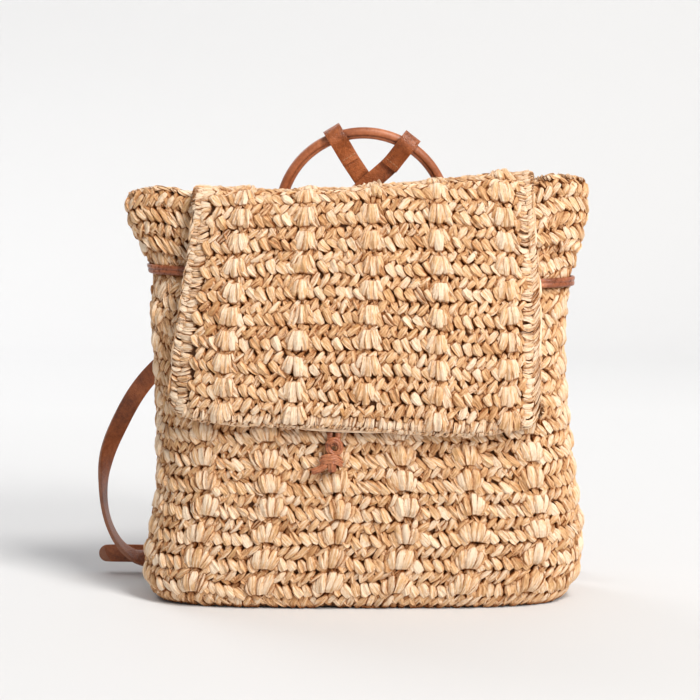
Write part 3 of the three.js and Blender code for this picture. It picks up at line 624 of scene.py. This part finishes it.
def under(stitches, u, v, du, dv):
    """A strand that lies below the others and fills what they leave, its tone made darker as painted shade.
    """
    stitches.add(
        u + jitter(1.0) * du, v + jitter(1.0) * dv, rng.uniform(-60, 60), 12.0, 6.0 + jitter(0.5),
        height=2.6 + jitter(0.3), blunt=0.4, tone=0.3 + jitter(0.15),
    )


def sack_column(x):
    """The u at which the sack's front is at x, in millimetres, a quarter of the way up."""
    line = SACK_SKIN.points[SACK_LINES // 4]
    front = np.where(line[:, 1] < 0)[0]
    return front[np.argmin(np.abs(line[front, 0] - x * MM))] / SACK_COLUMNS


# How near to the lace the stitches lie low, how low, and how far above it the puffs end, seen from
# the front.
LACE_CLEAR = 13.0
LACE_PRESS = 0.55
PUFFS_END = 8.0
# The Y in metres behind which the sack's stitches are plainer.
SEEN_TO = 0.012
# How far inside the flap's outline, in millimetres, a stitch of the sack lies before it is left out.
FLAP_COVER = 9.0
# How far from the skin's foot and rim, in millimetres, a row's middle keeps.
ROW_FOOT = 0.5
ROW_RIM = 3.0


def under_flap(place):
    """Whether the flap hides that place of the sack, and a little way round it too."""
    if place[1] > -0.02:
        return False
    reach = FLAP_COVER * MM
    for x, z in ((-reach, 0), (reach, 0), (0, -1.4 * reach)):
        start = Vector((place[0] + x, place[1] + 0.01, place[2] + z))
        if FLAP.ray_cast(start, Vector((0, -1, 0)), 0.05)[0] is None:
            return False
    return True


def sack_stitches():
    """The sack's rounds, from the base up, split by where they show, and the strands below them."""
    seen, unseen, below = Stitches(), Stitches(), Stitches()
    start = sack_column(SACK_PUFF_PLACE)
    rim = float(SACK_SKIN.height.mean()) / MM
    pitch = float(SACK_SKIN.width[int(0.3 * (SACK_LINES - 1))]) / MM / SACK_STITCHES
    du, dv = 1.0 / (pitch * SACK_STITCHES), 1.0 / rim

    def fits(middle):
        return ROW_FOOT < middle < rim - ROW_RIM

    for k in range(int((rim - SACK_FIRST_ROW) / SACK_REPEAT) + 1):
        for i in range(SACK_STITCHES):
            u = start + (i + 0.16 * math.sin(k * 2.1 + i * 0.05)) / SACK_STITCHES
            foot = SACK_FIRST_ROW + k * SACK_REPEAT + 0.9 * math.sin(i * 0.21 + k * 1.3)
            place = SACK_SKIN.at(np.array([u]), np.array([(foot + SACK_REPEAT / 2) * dv]), np.zeros(1))[0]
            if under_flap(place):
                continue
            into = seen if place[1] < SEEN_TO else unseen
            above = place[2] / MM - LACE_HEIGHT
            puffed = -1 if above > PUFFS_END and into is seen else i % PUFF_EVERY
            tall = LACE_PRESS if abs(above) < LACE_CLEAR else 1.0
            if puffed == 0:
                if 0 < foot + 7.4 < rim - 4:
                    puff(into, u, (foot + 0.6) * dv, du, dv, 1, tall=tall)
            elif fits(foot + 5.0):
                near = {1: 0.12, PUFF_EVERY - 1: -0.12}.get(puffed, 0.0) * pitch
                stitch(into, u + near * du, (foot + 5.0) * dv, du, dv, pitch, 1, TALL_STITCH, tall=tall)
            if fits(foot + 14.5):
                middle = foot + 14.5 + (1.6 if puffed == 0 else 0.0)
                stitch(into, u + 0.5 * pitch * du, middle * dv, du, dv, pitch, 1, SHORT_STITCH, tall=tall)
            for middle in (foot + 0.5, foot + 9.5):
                if fits(middle):
                    under(below, u + 0.25 * pitch * du, middle * dv, du, dv)
    return seen, unseen, below


# The width of the flap's band, where across the flap its puffs' columns stand, how often its rows
# repeat, and the middle of its lowest puffs, from the hem.
FLAP_BAND = 11.0
FLAP_PUFFS = (0.143, 0.3345, 0.526, 0.7175, 0.909)
FLAP_REPEAT = 16.5
FLAP_FIRST_PUFF = 28.6
FLAP_SCALE = 0.94


def flap_size():
    """The flap's height along its skin and its width at the front, in millimetres."""
    return float(FLAP_SKIN.height.mean()) / MM, float(FLAP_SKIN.width[:60].mean()) / MM


def flap_stitches():
    """The flap's rows, worked downwards, inside its band, and the strands below them."""
    stitches, below = Stitches(), Stitches()
    tall, wide = flap_size()
    du, dv = 1.0 / wide, 1.0 / tall
    pitch = (FLAP_PUFFS[1] - FLAP_PUFFS[0]) * wide / PUFF_EVERY
    edge = (FLAP_BAND + 1.5) * du
    first = FLAP_PUFFS[0] - 5 * pitch * du
    for k in range(-1, int(tall / FLAP_REPEAT) + 1):
        middle = FLAP_FIRST_PUFF + k * FLAP_REPEAT
        for i in range(int(1.0 / (pitch * du)) + 10):
            u = first + (i + 0.1 * math.sin(k * 1.7 + i * 0.3)) * pitch * du
            if not edge < u < 1 - edge:
                continue
            sway = 0.8 * math.sin(i * 0.33 + k * 0.9)
            if (i - 5) % PUFF_EVERY == 0:
                top = middle + 7.4 + sway
                if FLAP_BAND + 8 < top < tall - 1:
                    puff(stitches, u, top * dv, du, dv, -1, reach=16.0)
            else:
                place = middle - 3.0 + sway
                if FLAP_BAND + 3 < place < tall - 5:
                    stitch(stitches, u, place * dv, du, dv, pitch, -1, TALL_STITCH, FLAP_SCALE)
            place = middle + 5.1 + sway
            across = u + 0.5 * pitch * du
            if FLAP_BAND + 2 < place < tall - 4 and across < 1 - edge:
                stitch(stitches, across, place * dv, du, dv, pitch, -1, SHORT_STITCH, FLAP_SCALE)
            for place in (middle + 1.5, middle + 9.5):
                if FLAP_BAND < place < tall - 4:
                    under(below, u + 0.25 * pitch * du, place * dv, du, dv)
    return stitches, below


BAND_PITCH = 2.5
# The two rows of the band: how far from the edge a strand's middle lies, and its length.
BAND_ROWS = ((2.6, 8.4), (8.6, 11.5))


def flap_band():
    """The dense band along the flap's sides and hem: strands that point off the edge."""
    stitches = Stitches()
    tall, wide = flap_size()
    du, dv = 1.0 / wide, 1.0 / tall

    def strand(u, v, angle, length):
        stitches.add(
            u, v, angle + jitter(10.0), length * (1 + jitter(0.12)), 4.7 * (1 + jitter(0.16)),
            height=2.2 + jitter(0.2), base=0.4 * rng.random(), rise=jitter(0.35), tilt=jitter(0.35),
            bow=jitter(0.6), blunt=0.34, tone=0.76 + jitter(0.12),
        )

    for i in range(int(tall / BAND_PITCH)):
        v = (i + 0.5) * BAND_PITCH * dv
        for side, lean in ((0, 74), (1, -74)):
            for place, length in BAND_ROWS:
                u = (place + jitter(0.4)) * du
                strand(u if side == 0 else 1 - u, v + jitter(0.4) * dv, lean, length)
    for i in range(int((wide - 2 * FLAP_BAND) / BAND_PITCH)):
        u = (FLAP_BAND + (i + 0.5) * BAND_PITCH) * du
        for place, length in BAND_ROWS:
            strand(u + jitter(0.4) * du, (place + jitter(0.4)) * dv, 14, length)
    return stitches


ROPE_PITCH = 4.6
ROPE_STARTS = (0.0, 0.33, 0.66)


def rope(name, path, outward, radius, count):
    """A twisted edge of short strands, laid slantwise round a path on the side that outward gives."""
    both = evenly(np.concatenate([path, outward], 1), count)
    path = both[:, :3]
    along = unit(np.gradient(path, axis=0))
    out = unit(both[:, 3:] - along * (both[:, 3:] * along).sum(1, keepdims=True))
    turns = np.linspace(0.0, 2 * math.pi, 24, endpoint=False)[None, :, None]
    ring = np.cos(turns) * out[:, None] + np.sin(turns) * np.cross(along, out)[:, None]
    surface = Surface(path[:, None] + ring * radius, True)
    total = float(surface.height.mean()) / MM
    stitches = Stitches()
    for i in range(int(total / ROPE_PITCH)):
        for start in ROPE_STARTS:
            v = (i + 0.5 + start + jitter(0.08)) * ROPE_PITCH / total
            if v < 1 - 2.0 / total:
                stitches.add(
                    start + jitter(0.03), v, 34 + jitter(7.0), 7.4 * (1 + jitter(0.1)),
                    3.3 * (1 + jitter(0.1)), height=1.7 + jitter(0.2), blunt=0.42, tone=0.62 + jitter(0.15),
                )
    stitches.lay(name, surface, rings=6, spans=4, sunk=0.9)


def flap_edge():
    """The chain along the flap's free edge, from the back rim down, along the hem and up again."""
    normal = FLAP_SKIN.normals
    centre = FLAP_SKIN.points - normal * 1.9 * MM
    sides = [(slice(None, None, -1), 0), (0, slice(None)), (slice(None), -1)]
    path, outward = (np.concatenate([grid[s] for s in sides]) for grid in (centre, normal))
    rope("flap_edge", path, outward, 1.5 * MM, 420)


def sack_edge():
    """The chain along the sack's rim."""
    normal = SACK_SKIN.normals[-1]
    path = SACK_SKIN.points[-1] - normal * 2.0 * MM
    rope("sack_edge", path - np.array([0.0, 0.0, 0.6 * MM]), normal, 1.6 * MM, 480)


LINING_FROM = 0.87
LINING_STITCHES = 104
PLAIN_REPEAT = 9.0


def lining():
    """The inside of the sack's mouth, as far down as it shows."""
    start = int(LINING_FROM * SACK_LINES)
    inner = SACK_SKIN.points[start:] - SACK_SKIN.normals[start:] * 4.6 * MM
    skin = Surface(inner[:, ::-1], True)
    tall, wide = float(skin.height.mean()) / MM, float(skin.width.mean()) / MM
    pitch = wide / LINING_STITCHES
    stitches = Stitches()
    for k in range(int((tall - 2) / PLAIN_REPEAT)):
        v = (tall - 5.5 - PLAIN_REPEAT * k) / tall
        for i in range(LINING_STITCHES):
            u = (i + 0.5 * k) / LINING_STITCHES
            stitch(stitches, u, v, 1 / wide, 1 / tall, pitch, 1, SHORT_STITCH)
    stitches.lay("sack_lining", skin, rings=6, spans=4)


def base_stitches():
    """Rounds of short strands on the base, flat to stand on."""
    stitches = Stitches()
    reach = float(BASE_SKIN.height.mean()) / MM
    for k in range(int(reach / PLAIN_REPEAT)):
        v = (k + 0.6) * PLAIN_REPEAT / reach
        around = float(BASE_SKIN.spans(np.array([0.0]), np.array([v]))[0][0]) / MM
        count = max(8, int(around / 6.8))
        for i in range(count):
            for side in (-1, 1):
                u = (i + 0.25 * side + jitter(0.05)) / count
                stitches.add(u, v, side * 24 + jitter(8.0), 10.0, 4.4, height=2.2, blunt=0.45)
    return stitches


def straw_pieces():
    sack_shell()
    flap_shell()
    seen, unseen, below = sack_stitches()
    low, high = seen.split(0.25)
    low.lay("sack_weave_low", SACK_SKIN, rings=8, spans=6, floor=0.0003)
    high.lay("sack_weave_high", SACK_SKIN, rings=8, spans=6)
    unseen.lay("sack_weave_back", SACK_SKIN, rings=6, spans=4, floor=0.0003)
    below.lay("sack_weave_below", SACK_SKIN, rings=5, spans=3, floor=0.0003)
    base_stitches().lay("sack_weave_base", BASE_SKIN, rings=6, spans=4, floor=0.0002)
    rows, below = flap_stitches()
    low, high = rows.split(0.45)
    low.lay("flap_weave_low", FLAP_SKIN, rings=8, spans=6)
    high.lay("flap_weave_high", FLAP_SKIN, rings=8, spans=6)
    below.lay("flap_weave_below", FLAP_SKIN, rings=5, spans=3)
    flap_band().lay("flap_band", FLAP_SKIN)
    flap_edge()
    sack_edge()
    lining()


def stage():
    """A plain pale floor that curves up into a pale backdrop, a little paler towards the back."""
    n = Nodes("stage")
    parts = n.node("ShaderNodeSeparateXYZ", i0=(n.node("ShaderNodeTexCoord"), "Object"))
    colour = n.ramp((parts, 1), (0.1, (0.70, 0.705, 0.715, 1)), (1.0, (0.785, 0.789, 0.797, 1)))
    front, back, bend, height, half = -7.0, 2.3, 0.6, 3.2, 5.0
    profile = [(front, 0.0), (back - bend, 0.0)]
    for angle in np.linspace(0, math.pi / 2, 13)[1:]:
        profile.append((back - bend + bend * math.sin(angle), bend - bend * math.cos(angle)))
    profile.append((back, height))
    points = np.array([(x, y, z) for y, z in profile for x in (-half, half)])
    mesh_object("stage", points, [grid_faces(len(profile), 2, False)], n.painted(colour, 0.85))


# Each light: place and size in metres, power in watts, colour.
LIGHTS = {
    "key": ((2.7, -3.2, 2.6), 1.1, 120.0, (1.0, 0.965, 0.92)),
    "top": ((1.3, -1.6, 3.2), 0.9, 92.0, (1.0, 0.97, 0.93)),
    "back": ((-1.6, 1.9, 1.9), 1.4, 26.0, (0.97, 0.98, 1.0)),
}
LIGHTS_AIM = Vector((0, 0, 0.14))


def lights():
    world = bpy.data.worlds.new("world")
    world.use_nodes = True
    background = world.node_tree.nodes["Background"]
    background.inputs["Color"].default_value = (0.97, 0.985, 1.0, 1)
    background.inputs["Strength"].default_value = 0.33
    scene.world = world
    for name, (place, size, power, colour) in LIGHTS.items():
        data = bpy.data.lights.new(name, "AREA")
        data.shape = "RECTANGLE"
        data.size = data.size_y = size
        data.energy = power
        data.color = colour
        obj = linked(name, data)
        obj.location = place
        obj.rotation_euler = (LIGHTS_AIM - Vector(place)).to_track_quat("-Z", "Y").to_euler()
    scene.view_settings.view_transform = "Standard"


def leather_material(name, dark, mid, pale, rough, grain):
    """Grained leather: pebbles, soft clouds of colour, a little polish on the high spots, and painted shade
    where other surfaces close in.
    """
    n = Nodes(name)
    place = n.node("ShaderNodeTexCoord"), "Object"
    clouds = n.noise(place, 38.0, 4.0, 0.6)
    specks = n.noise(place, 420.0, 3.0, 0.6)
    pebbles = n.node("ShaderNodeTexVoronoi", Vector=place, Scale=1100.0), 0
    tone = n.math("ADD", clouds, n.scaled(specks, 0.5, -0.25))
    colour = n.ramp(tone, (0.3, dark), (0.5, mid), (0.72, pale))
    # Painted shade where other surfaces close in on the leather.
    colour = n.painted_crevice_shade(colour, 0.003, (0.15, (0.16, 0.08, 0.05, 1)), (0.65, OPEN))
    n.bump(n.math("ADD", pebbles, n.scaled(specks, 0.6)), 0.35 * grain, 0.0005)
    return n.painted(colour, n.scaled(specks, 0.3, rough - 0.15))


def metal_material():
    """Satin brass with faint brushing."""
    n = Nodes("metal")
    brushed = n.stretched((n.node("ShaderNodeTexCoord"), "Object"), (1.0, 1.0, 12.0))
    lines = n.noise(brushed, 300.0, 3.0)
    colour = n.ramp(lines, (0.3, (0.42, 0.28, 0.11, 1)), (0.7, (0.60, 0.43, 0.20, 1)))
    n.bump(lines, 0.08, 0.0003)
    return n.painted(colour, n.scaled(lines, 0.2, 0.22), {"Metallic": 1.0})


# Each leather's colours from dark to pale, how rough it is, and how strong its grain.
LEATHERS = {
    "ring_leather": ((0.25, 0.070, 0.024, 1), (0.38, 0.118, 0.045, 1), (0.52, 0.18, 0.075, 1), 0.42, 0.7),
    "strap_leather": ((0.17, 0.042, 0.011, 1), (0.34, 0.095, 0.027, 1), (0.52, 0.165, 0.055, 1), 0.36, 1.7),
    # The edge leather is the straps' edge paint, made paler and pinker than their faces as a painted
    # highlight on the rounded edges.
    "edge_leather": ((0.24, 0.085, 0.04, 1), (0.34, 0.13, 0.065, 1), (0.44, 0.18, 0.095, 1), 0.45, 0.4),
    "lace_leather": ((0.13, 0.034, 0.011, 1), (0.33, 0.096, 0.037, 1), (0.62, 0.24, 0.105, 1), 0.30, 1.2),
    "thread": ((0.30, 0.14, 0.06, 1), (0.42, 0.2, 0.09, 1), (0.52, 0.27, 0.13, 1), 0.6, 0.3),
}
RING_LEATHER, STRAP_LEATHER, EDGE_LEATHER, LACE_LEATHER, THREAD = (
    leather_material(name, *look) for name, look in LEATHERS.items()
)
METAL = metal_material()


def swept(name, path, facing, section, material, closed=False):
    """A section carried along a path. facing holds, for each point, the way the section's top faces.

    The section's points are (across, out) pairs in millimetres, counter-clockwise. It may also be one
    such list for each point of the path.
    """
    if closed:
        along = unit(np.roll(path, -1, 0) - np.roll(path, 1, 0))
    else:
        along = unit(np.gradient(path, axis=0))
    out = unit(facing - along * (facing * along).sum(1, keepdims=True))
    across = np.cross(along, out)
    section = np.asarray(section, float) * MM
    if section.ndim == 2:
        section = np.repeat(section[None], len(path), 0)
    points = path[:, None] + section[..., :1] * across[:, None] + section[..., 1:] * out[:, None]
    rows, columns = points.shape[:2]
    faces = [grid_faces(rows + closed, columns, True, 0, True) % (rows * columns)]
    if not closed:
        ring = np.arange(columns)
        faces += [ring[None], (ring[::-1] + (rows - 1) * columns)[None]]
    return mesh_object(name, points.reshape(-1, 3), faces, material)


def from_bmesh(name, bm, *materials):
    mesh = bpy.data.meshes.new(name)
    bm.to_mesh(mesh)
    bm.free()
    for material in materials:
        mesh.materials.append(material)
    return linked(name, mesh)


def joined(name, pieces):
    """The pieces, all of one material, as one object."""
    bm = bmesh.new()
    for piece in pieces:
        bm.from_mesh(piece.data)
    obj = from_bmesh(name, bm, pieces[0].data.materials[0])
    for piece in pieces:
        bpy.data.objects.remove(piece)
    return obj


# The ring's seam: how far round the tube it lies, its width in degrees and its depth in millimetres.
RING_SIDES = 60
RING_STEPS = 200
RING_SEAM = 118.0
RING_SEAM_WIDTH = 8.5
RING_SEAM_DEPTH = 1.3


def on_ring(turns):
    """The ring's centre, and the ways from it to its hoop at those turns from the top, in radians."""
    low, high = (np.array(v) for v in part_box("ring_handle"))
    lean = math.atan(RING_LEAN)
    upward = np.array([0, -math.sin(lean), math.cos(lean)])
    turns = np.asarray(turns)[:, None]
    return (low + high) / 2, np.sin(turns) * np.array([1.0, 0, 0]) + np.cos(turns) * upward


def ring_handle():
    """The ring: leather wrapped round a hoop, its long seam on the inner side of each face."""
    centre, radial = on_ring(np.linspace(0, 2 * math.pi, RING_STEPS, endpoint=False))
    path = centre + radial * RING_RADIUS * MM
    angles = np.linspace(0, 360, RING_SIDES, endpoint=False)
    from_out = np.minimum(angles, 360 - angles)
    radius = RING_TUBE + 0.1 + 0.24 * np.clip((from_out - RING_SEAM) / 12, 0, 1)
    for seam in (RING_SEAM, 360 - RING_SEAM):
        radius -= RING_SEAM_DEPTH * np.exp(-(((angles - seam) / RING_SEAM_WIDTH) ** 2))
    # The section's across runs with the ring's axis here, and its out runs away from the centre.
    turns = np.radians(angles)
    section = np.stack([radius * np.sin(turns), radius * np.cos(turns)], 1)
    obj = swept("ring_wrap", path, radial, section[::-1], RING_LEATHER, closed=True)
    dressed(obj, "ring_leather", "ring_handle")


def softened(name, node, width=STRAP_WIDTH, side=2.6, slot="strap_leather", rounding=0.45):
    """A copy of a CAD node with rounded edges, curved where it was faceted.

    width is the band's, and faces slimmer than side that don't span it are painted edges, in the edge
    leather whose paler colour is also a painted highlight.
    """
    bm = bmesh.new()
    bm.from_mesh(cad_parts[node].data)
    bmesh.ops.remove_doubles(bm, verts=bm.verts, dist=0.01 * MM)
    for face in bm.faces:
        lengths = [edge.calc_length() / MM for edge in face.edges]
        spans_the_band = any(abs(length - width) < 0.3 for length in lengths)
        slim = face.calc_area() / MM**2 * 2 / max(lengths) < side
        face.material_index = int(slim and not spans_the_band)
    bmesh.ops.join_triangles(
        bm,
        faces=bm.faces[:],
        cmp_materials=True,
        angle_face_threshold=math.radians(35),
        angle_shape_threshold=math.radians(75),
    )
    crease = bm.edges.layers.float.new("crease_edge")
    for edge in bm.edges:
        if edge.calc_face_angle(0.0) > math.radians(50):
            edge[crease] = 1.0
    for face in bm.faces:
        face.smooth = True
    obj = from_bmesh(name, bm, *((METAL, METAL) if slot == "metal" else (STRAP_LEATHER, EDGE_LEATHER)))
    smooth = obj.modifiers.new("smooth", "SUBSURF")
    smooth.levels = smooth.render_levels = 2
    edges = obj.modifiers.new("edges", "BEVEL")
    edges.width = rounding * MM
    edges.segments = 2
    edges.limit_method = "ANGLE"
    edges.angle_limit = math.radians(42)
    edges.harden_normals = True
    dressed(obj, slot, node)


# The two loops round the ring: where each stands on it and how its strap leans, in degrees.
STRAP_LOOPS = {"strap_left": (30.9, -38.0), "strap_right": (-18.7, 31.0)}
# Each loop's thread: how far below the ring, where across the strap, a stitch's length and radius.
LOOP_STITCH_DROP = 16.6
LOOP_STITCHES = (-0.32, -0.11, 0.11, 0.32)
THREAD_LENGTH = 2.1
THREAD_RADIUS = 0.32


def loop_stitches():
    """The stitches that close each strap's loop below the ring, each a short thread on its face."""
    turns = np.linspace(0, 2 * math.pi, 8, endpoint=False)
    section = np.stack([np.cos(turns), np.sin(turns)], 1) * THREAD_RADIUS
    steps = np.linspace(-0.5, 0.5, 7)[:, None]
    for node, (degrees, tilt) in STRAP_LOOPS.items():
        centre, radial = on_ring([math.radians(degrees)])
        tilt = math.radians(tilt)
        ahead = unit(np.array([math.sin(tilt), RING_LEAN * math.cos(tilt), -math.cos(tilt)]))
        across = np.array([math.cos(tilt), 0, math.sin(tilt)])
        middle = centre + radial[0] * RING_RADIUS * MM + ahead * LOOP_STITCH_DROP * MM
        tree = ray_tree(node)
        beads = []
        for place in LOOP_STITCHES:
            start = Vector(middle + across * place * STRAP_WIDTH * MM) + Vector((0, -0.02, 0))
            hit, normal = tree.ray_cast(start, Vector((0, 1, 0)), 0.04)[:2]
            if hit is None:
                continue
            lift = np.array(normal) * (0.12 - 0.5 * (2 * steps) ** 4) * MM
            path = np.array(hit) + steps * across * THREAD_LENGTH * MM + lift
            facing = np.repeat(np.array(normal)[None], len(path), 0)
            beads.append(swept("bead", path, facing, section, THREAD))
        dressed(joined(node + "_stitches", beads), "strap_leather")


# The lace's slope across the sack's front, and how deep under its CAD node's face its middle lies.
LACE_TILT = -0.014
LACE_DEPTH = 2.6
LACE_STEPS = 360
LACE_SECTION = (
    (-2.6, -1.3), (2.6, -1.3), (3.1, -0.8), (3.15, 0.7), (2.7, 1.25), (1.4, 1.4), (0.4, 1.2),
    (0.0, 0.75), (-0.4, 1.2), (-1.4, 1.4), (-2.7, 1.25), (-3.15, 0.7), (-3.1, -0.8),
)


def drawstring():
    """The lace round the sack, folded along its middle, laid where its CAD node lies."""
    tree = ray_tree("drawstring")
    hits = []
    for i in range(LACE_STEPS):
        direction = sack_direction(i / LACE_STEPS)
        spot = direction * 0.3
        spot.z = (LACE_HEIGHT + LACE_TILT * spot.x / MM) * MM
        hit, normal = tree.ray_cast(spot, -direction, 0.28)[:2]
        hits.append(None if hit is None else (np.array(hit), np.array(normal)))
    gap = next(i for i in range(LACE_STEPS) if hits[i] is None and hits[(i + 1) % LACE_STEPS])
    run = hits[gap + 1 :] + hits[: gap + 1]
    place, face = (np.array(column) for column in zip(*run[: run.index(None)]))
    for _ in range(4):
        face = unit(eased(face))
    place = place - face * LACE_DEPTH * MM
    for _ in range(2):
        place = eased(place)
    dressed(swept("lace", place, face, LACE_SECTION, LACE_LEATHER), "lace", "drawstring")


# The middle line of each tied end, in millimetres, from the drawstring down under the flap.
TIE_LEFT_ROUTE = (
    (-37.6, -42.2, 222.2), (-34.8, -42.6, 221.9), (-31.6, -43.5, 220.2), (-29.0, -44.8, 217.0),
    (-27.3, -46.3, 212.6), (-26.2, -47.9, 207.0), (-25.2, -50.1, 198.0), (-24.4, -52.8, 186.0),
    (-23.9, -55.7, 172.0), (-23.7, -58.2, 158.0), (-23.6, -60.2, 145.0), (-23.4, -61.6, 134.0),
    (-23.0, -62.6, 126.0), (-22.4, -63.5, 118.0),
)
TIE_RIGHT_ROUTE = (
    (-2.4, -43.0, 222.2), (-5.2, -43.2, 221.9), (-8.4, -43.9, 220.2), (-11.0, -45.1, 217.0),
    (-12.7, -46.5, 212.6), (-13.8, -48.1, 207.0), (-14.8, -50.2, 198.0), (-15.6, -52.9, 186.0),
    (-16.1, -55.8, 172.0), (-16.3, -58.2, 158.0), (-16.4, -60.3, 145.0), (-16.6, -61.7, 134.0),
    (-17.0, -62.6, 126.0), (-17.6, -63.5, 118.0),
)


def smooth_path(stops, count):
    """A smooth line through the stops, in metres."""
    stops = np.array(stops, float) * MM
    steps = np.concatenate([[0.0], np.cumsum(np.sqrt(np.linalg.norm(np.diff(stops, axis=0), axis=1)))])
    slopes = np.gradient(stops, steps, axis=0)
    wanted = np.linspace(0, steps[-1], count * 4)
    which = np.clip(np.searchsorted(steps, wanted) - 1, 0, len(stops) - 2)
    span = (steps[which + 1] - steps[which])[:, None]
    t = (wanted - steps[which])[:, None] / span
    fine = (
        (2 * t**3 - 3 * t**2 + 1) * stops[which]
        + (t**3 - 2 * t**2 + t) * slopes[which] * span
        + (-2 * t**3 + 3 * t**2) * stops[which + 1]
        + (t**3 - t**2) * slopes[which + 1] * span
    )
    return evenly(fine, count)


def tie(name, route):
    """One end of the lace, which hangs under the flap and ends in the knot."""
    data = bpy.data.curves.new(name, "CURVE")
    data.dimensions = "3D"
    data.bevel_depth = TIE_DIAMETER / 2 * MM
    data.bevel_resolution = 3
    data.use_fill_caps = True
    spline = data.splines.new("POLY")
    path = smooth_path(route, 60)
    spline.points.add(len(path) - 1)
    for point, place in zip(spline.points, path):
        point.co = (*place, 1.0)
    spline.use_smooth = True
    data.materials.append(LACE_LEATHER)
    obj = dressed(linked(name + "_lace", data), "lace", name)


def lace_strand(path, radius, flat=1.0, twist=0.0, creases=3, taper=None):
    """A folded lace: a round section with shallow creases along it."""
    turns = np.linspace(0, 2 * math.pi, 32, endpoint=False)
    rings = []
    for i in range(len(path)):
        turn = twist * i / (len(path) - 1)
        size = radius * (1 - 0.3 * np.cos(creases * (turns + turn)) ** 6)
        size = size * (1.0 if taper is None else taper[i])
        rings.append(np.stack([size * np.cos(turns), flat * size * np.sin(turns)], 1))
    facing = np.repeat(np.array([[0.0, -1.0, 0.0]]), len(path), 0)
    return swept("strand", path, facing, np.array(rings), LACE_LEATHER)


# Places in the knot, in millimetres: the two ends that come in, the bulb below the turns and the cut
# end. Each turn has a drop, a half width and a depth in front.
KNOT_ENTRIES = (
    ((-22.6, -63.6, 120.5), (-22.8, -64.6, 117.0), (-22.4, -65.2, 114.0), (-21.5, -65.4, 111.5)),
    ((-17.4, -63.6, 120.5), (-17.6, -64.4, 117.5), (-18.6, -65.0, 114.8), (-19.2, -64.9, 112.0)),
)
KNOT_BULB = ((-20.8, -64.6, 104.5), (-21.2, -66.0, 101.0), (-21.4, -66.4, 98.0), (-21.2, -66.0, 94.9))
KNOT_TAIL = ((-23.0, -65.0, 101.0), (-26.0, -66.4, 98.9), (-30.0, -66.2, 96.4), (-34.6, -65.4, 94.6))
KNOT_TURNS = ((0.0, 6.2, 0.6), (2.1, 7.0, 0.8), (4.2, 6.6, 0.5))
KNOT_BEND = 1.15


def tie_knot():
    """The knot: a loop with a small hole, three turns round its foot, and two cut ends below."""
    parts = [lace_strand(smooth_path(stops, 16), 1.9, 0.85) for stops in KNOT_ENTRIES]
    turns = np.linspace(-0.35 * math.pi, 1.75 * math.pi, 48)
    across = -19.9 + 4.1 * np.sin(turns) - 0.25 * np.cos(turns)
    loop = np.stack([across, -66.2 - 0.9 * np.cos(turns * 0.5), 111.4 + 4.6 * np.cos(turns)], 1)
    parts.append(lace_strand(loop * MM, 2.05, 0.85, twist=1.5))
    bend = np.linspace(-KNOT_BEND, KNOT_BEND, 24)
    for drop, reach, front in KNOT_TURNS:
        across = -21.8 + reach * np.sin(bend) / math.sin(KNOT_BEND)
        up = 101.6 - drop + 4.2 * np.cos(bend) - 0.6 * np.sin(bend)
        arc = np.stack([across, -63.6 - (3.6 + front) * np.cos(bend), up], 1)
        parts.append(lace_strand(arc * MM, 1.35, creases=2))
    swell = 1 + 0.22 * np.sin(np.linspace(0, math.pi, 20))
    parts.append(lace_strand(smooth_path(KNOT_BULB, 20), 2.6, 0.85, taper=swell))
    parts.append(lace_strand(smooth_path(KNOT_TAIL, 22), 2.3, 0.7, creases=4))
    return dressed(joined("tie_knot_turns", parts), "lace", "tie_knot")


def leather_pieces():
    ring_handle()
    for node in ("strap_left", "strap_right"):
        softened(node + "_band", node)
    softened("ring_keeper_band", "ring_keeper", KEEPER_WIDTH, 2.2)
    for node in ("anchor_left", "anchor_right"):
        softened(node + "_tab", node, side=2.2)
    for node in ("slider_left", "slider_right"):
        softened(node + "_bar", node, slot="metal", rounding=0.6)
    loop_stitches()
    drawstring()


def cords():
    knot = tie_knot()
    tie("tie_left", TIE_LEFT_ROUTE)
    tie("tie_right", TIE_RIGHT_ROUTE)


cords()
leather_pieces()
stage()
lights()
straw_pieces()
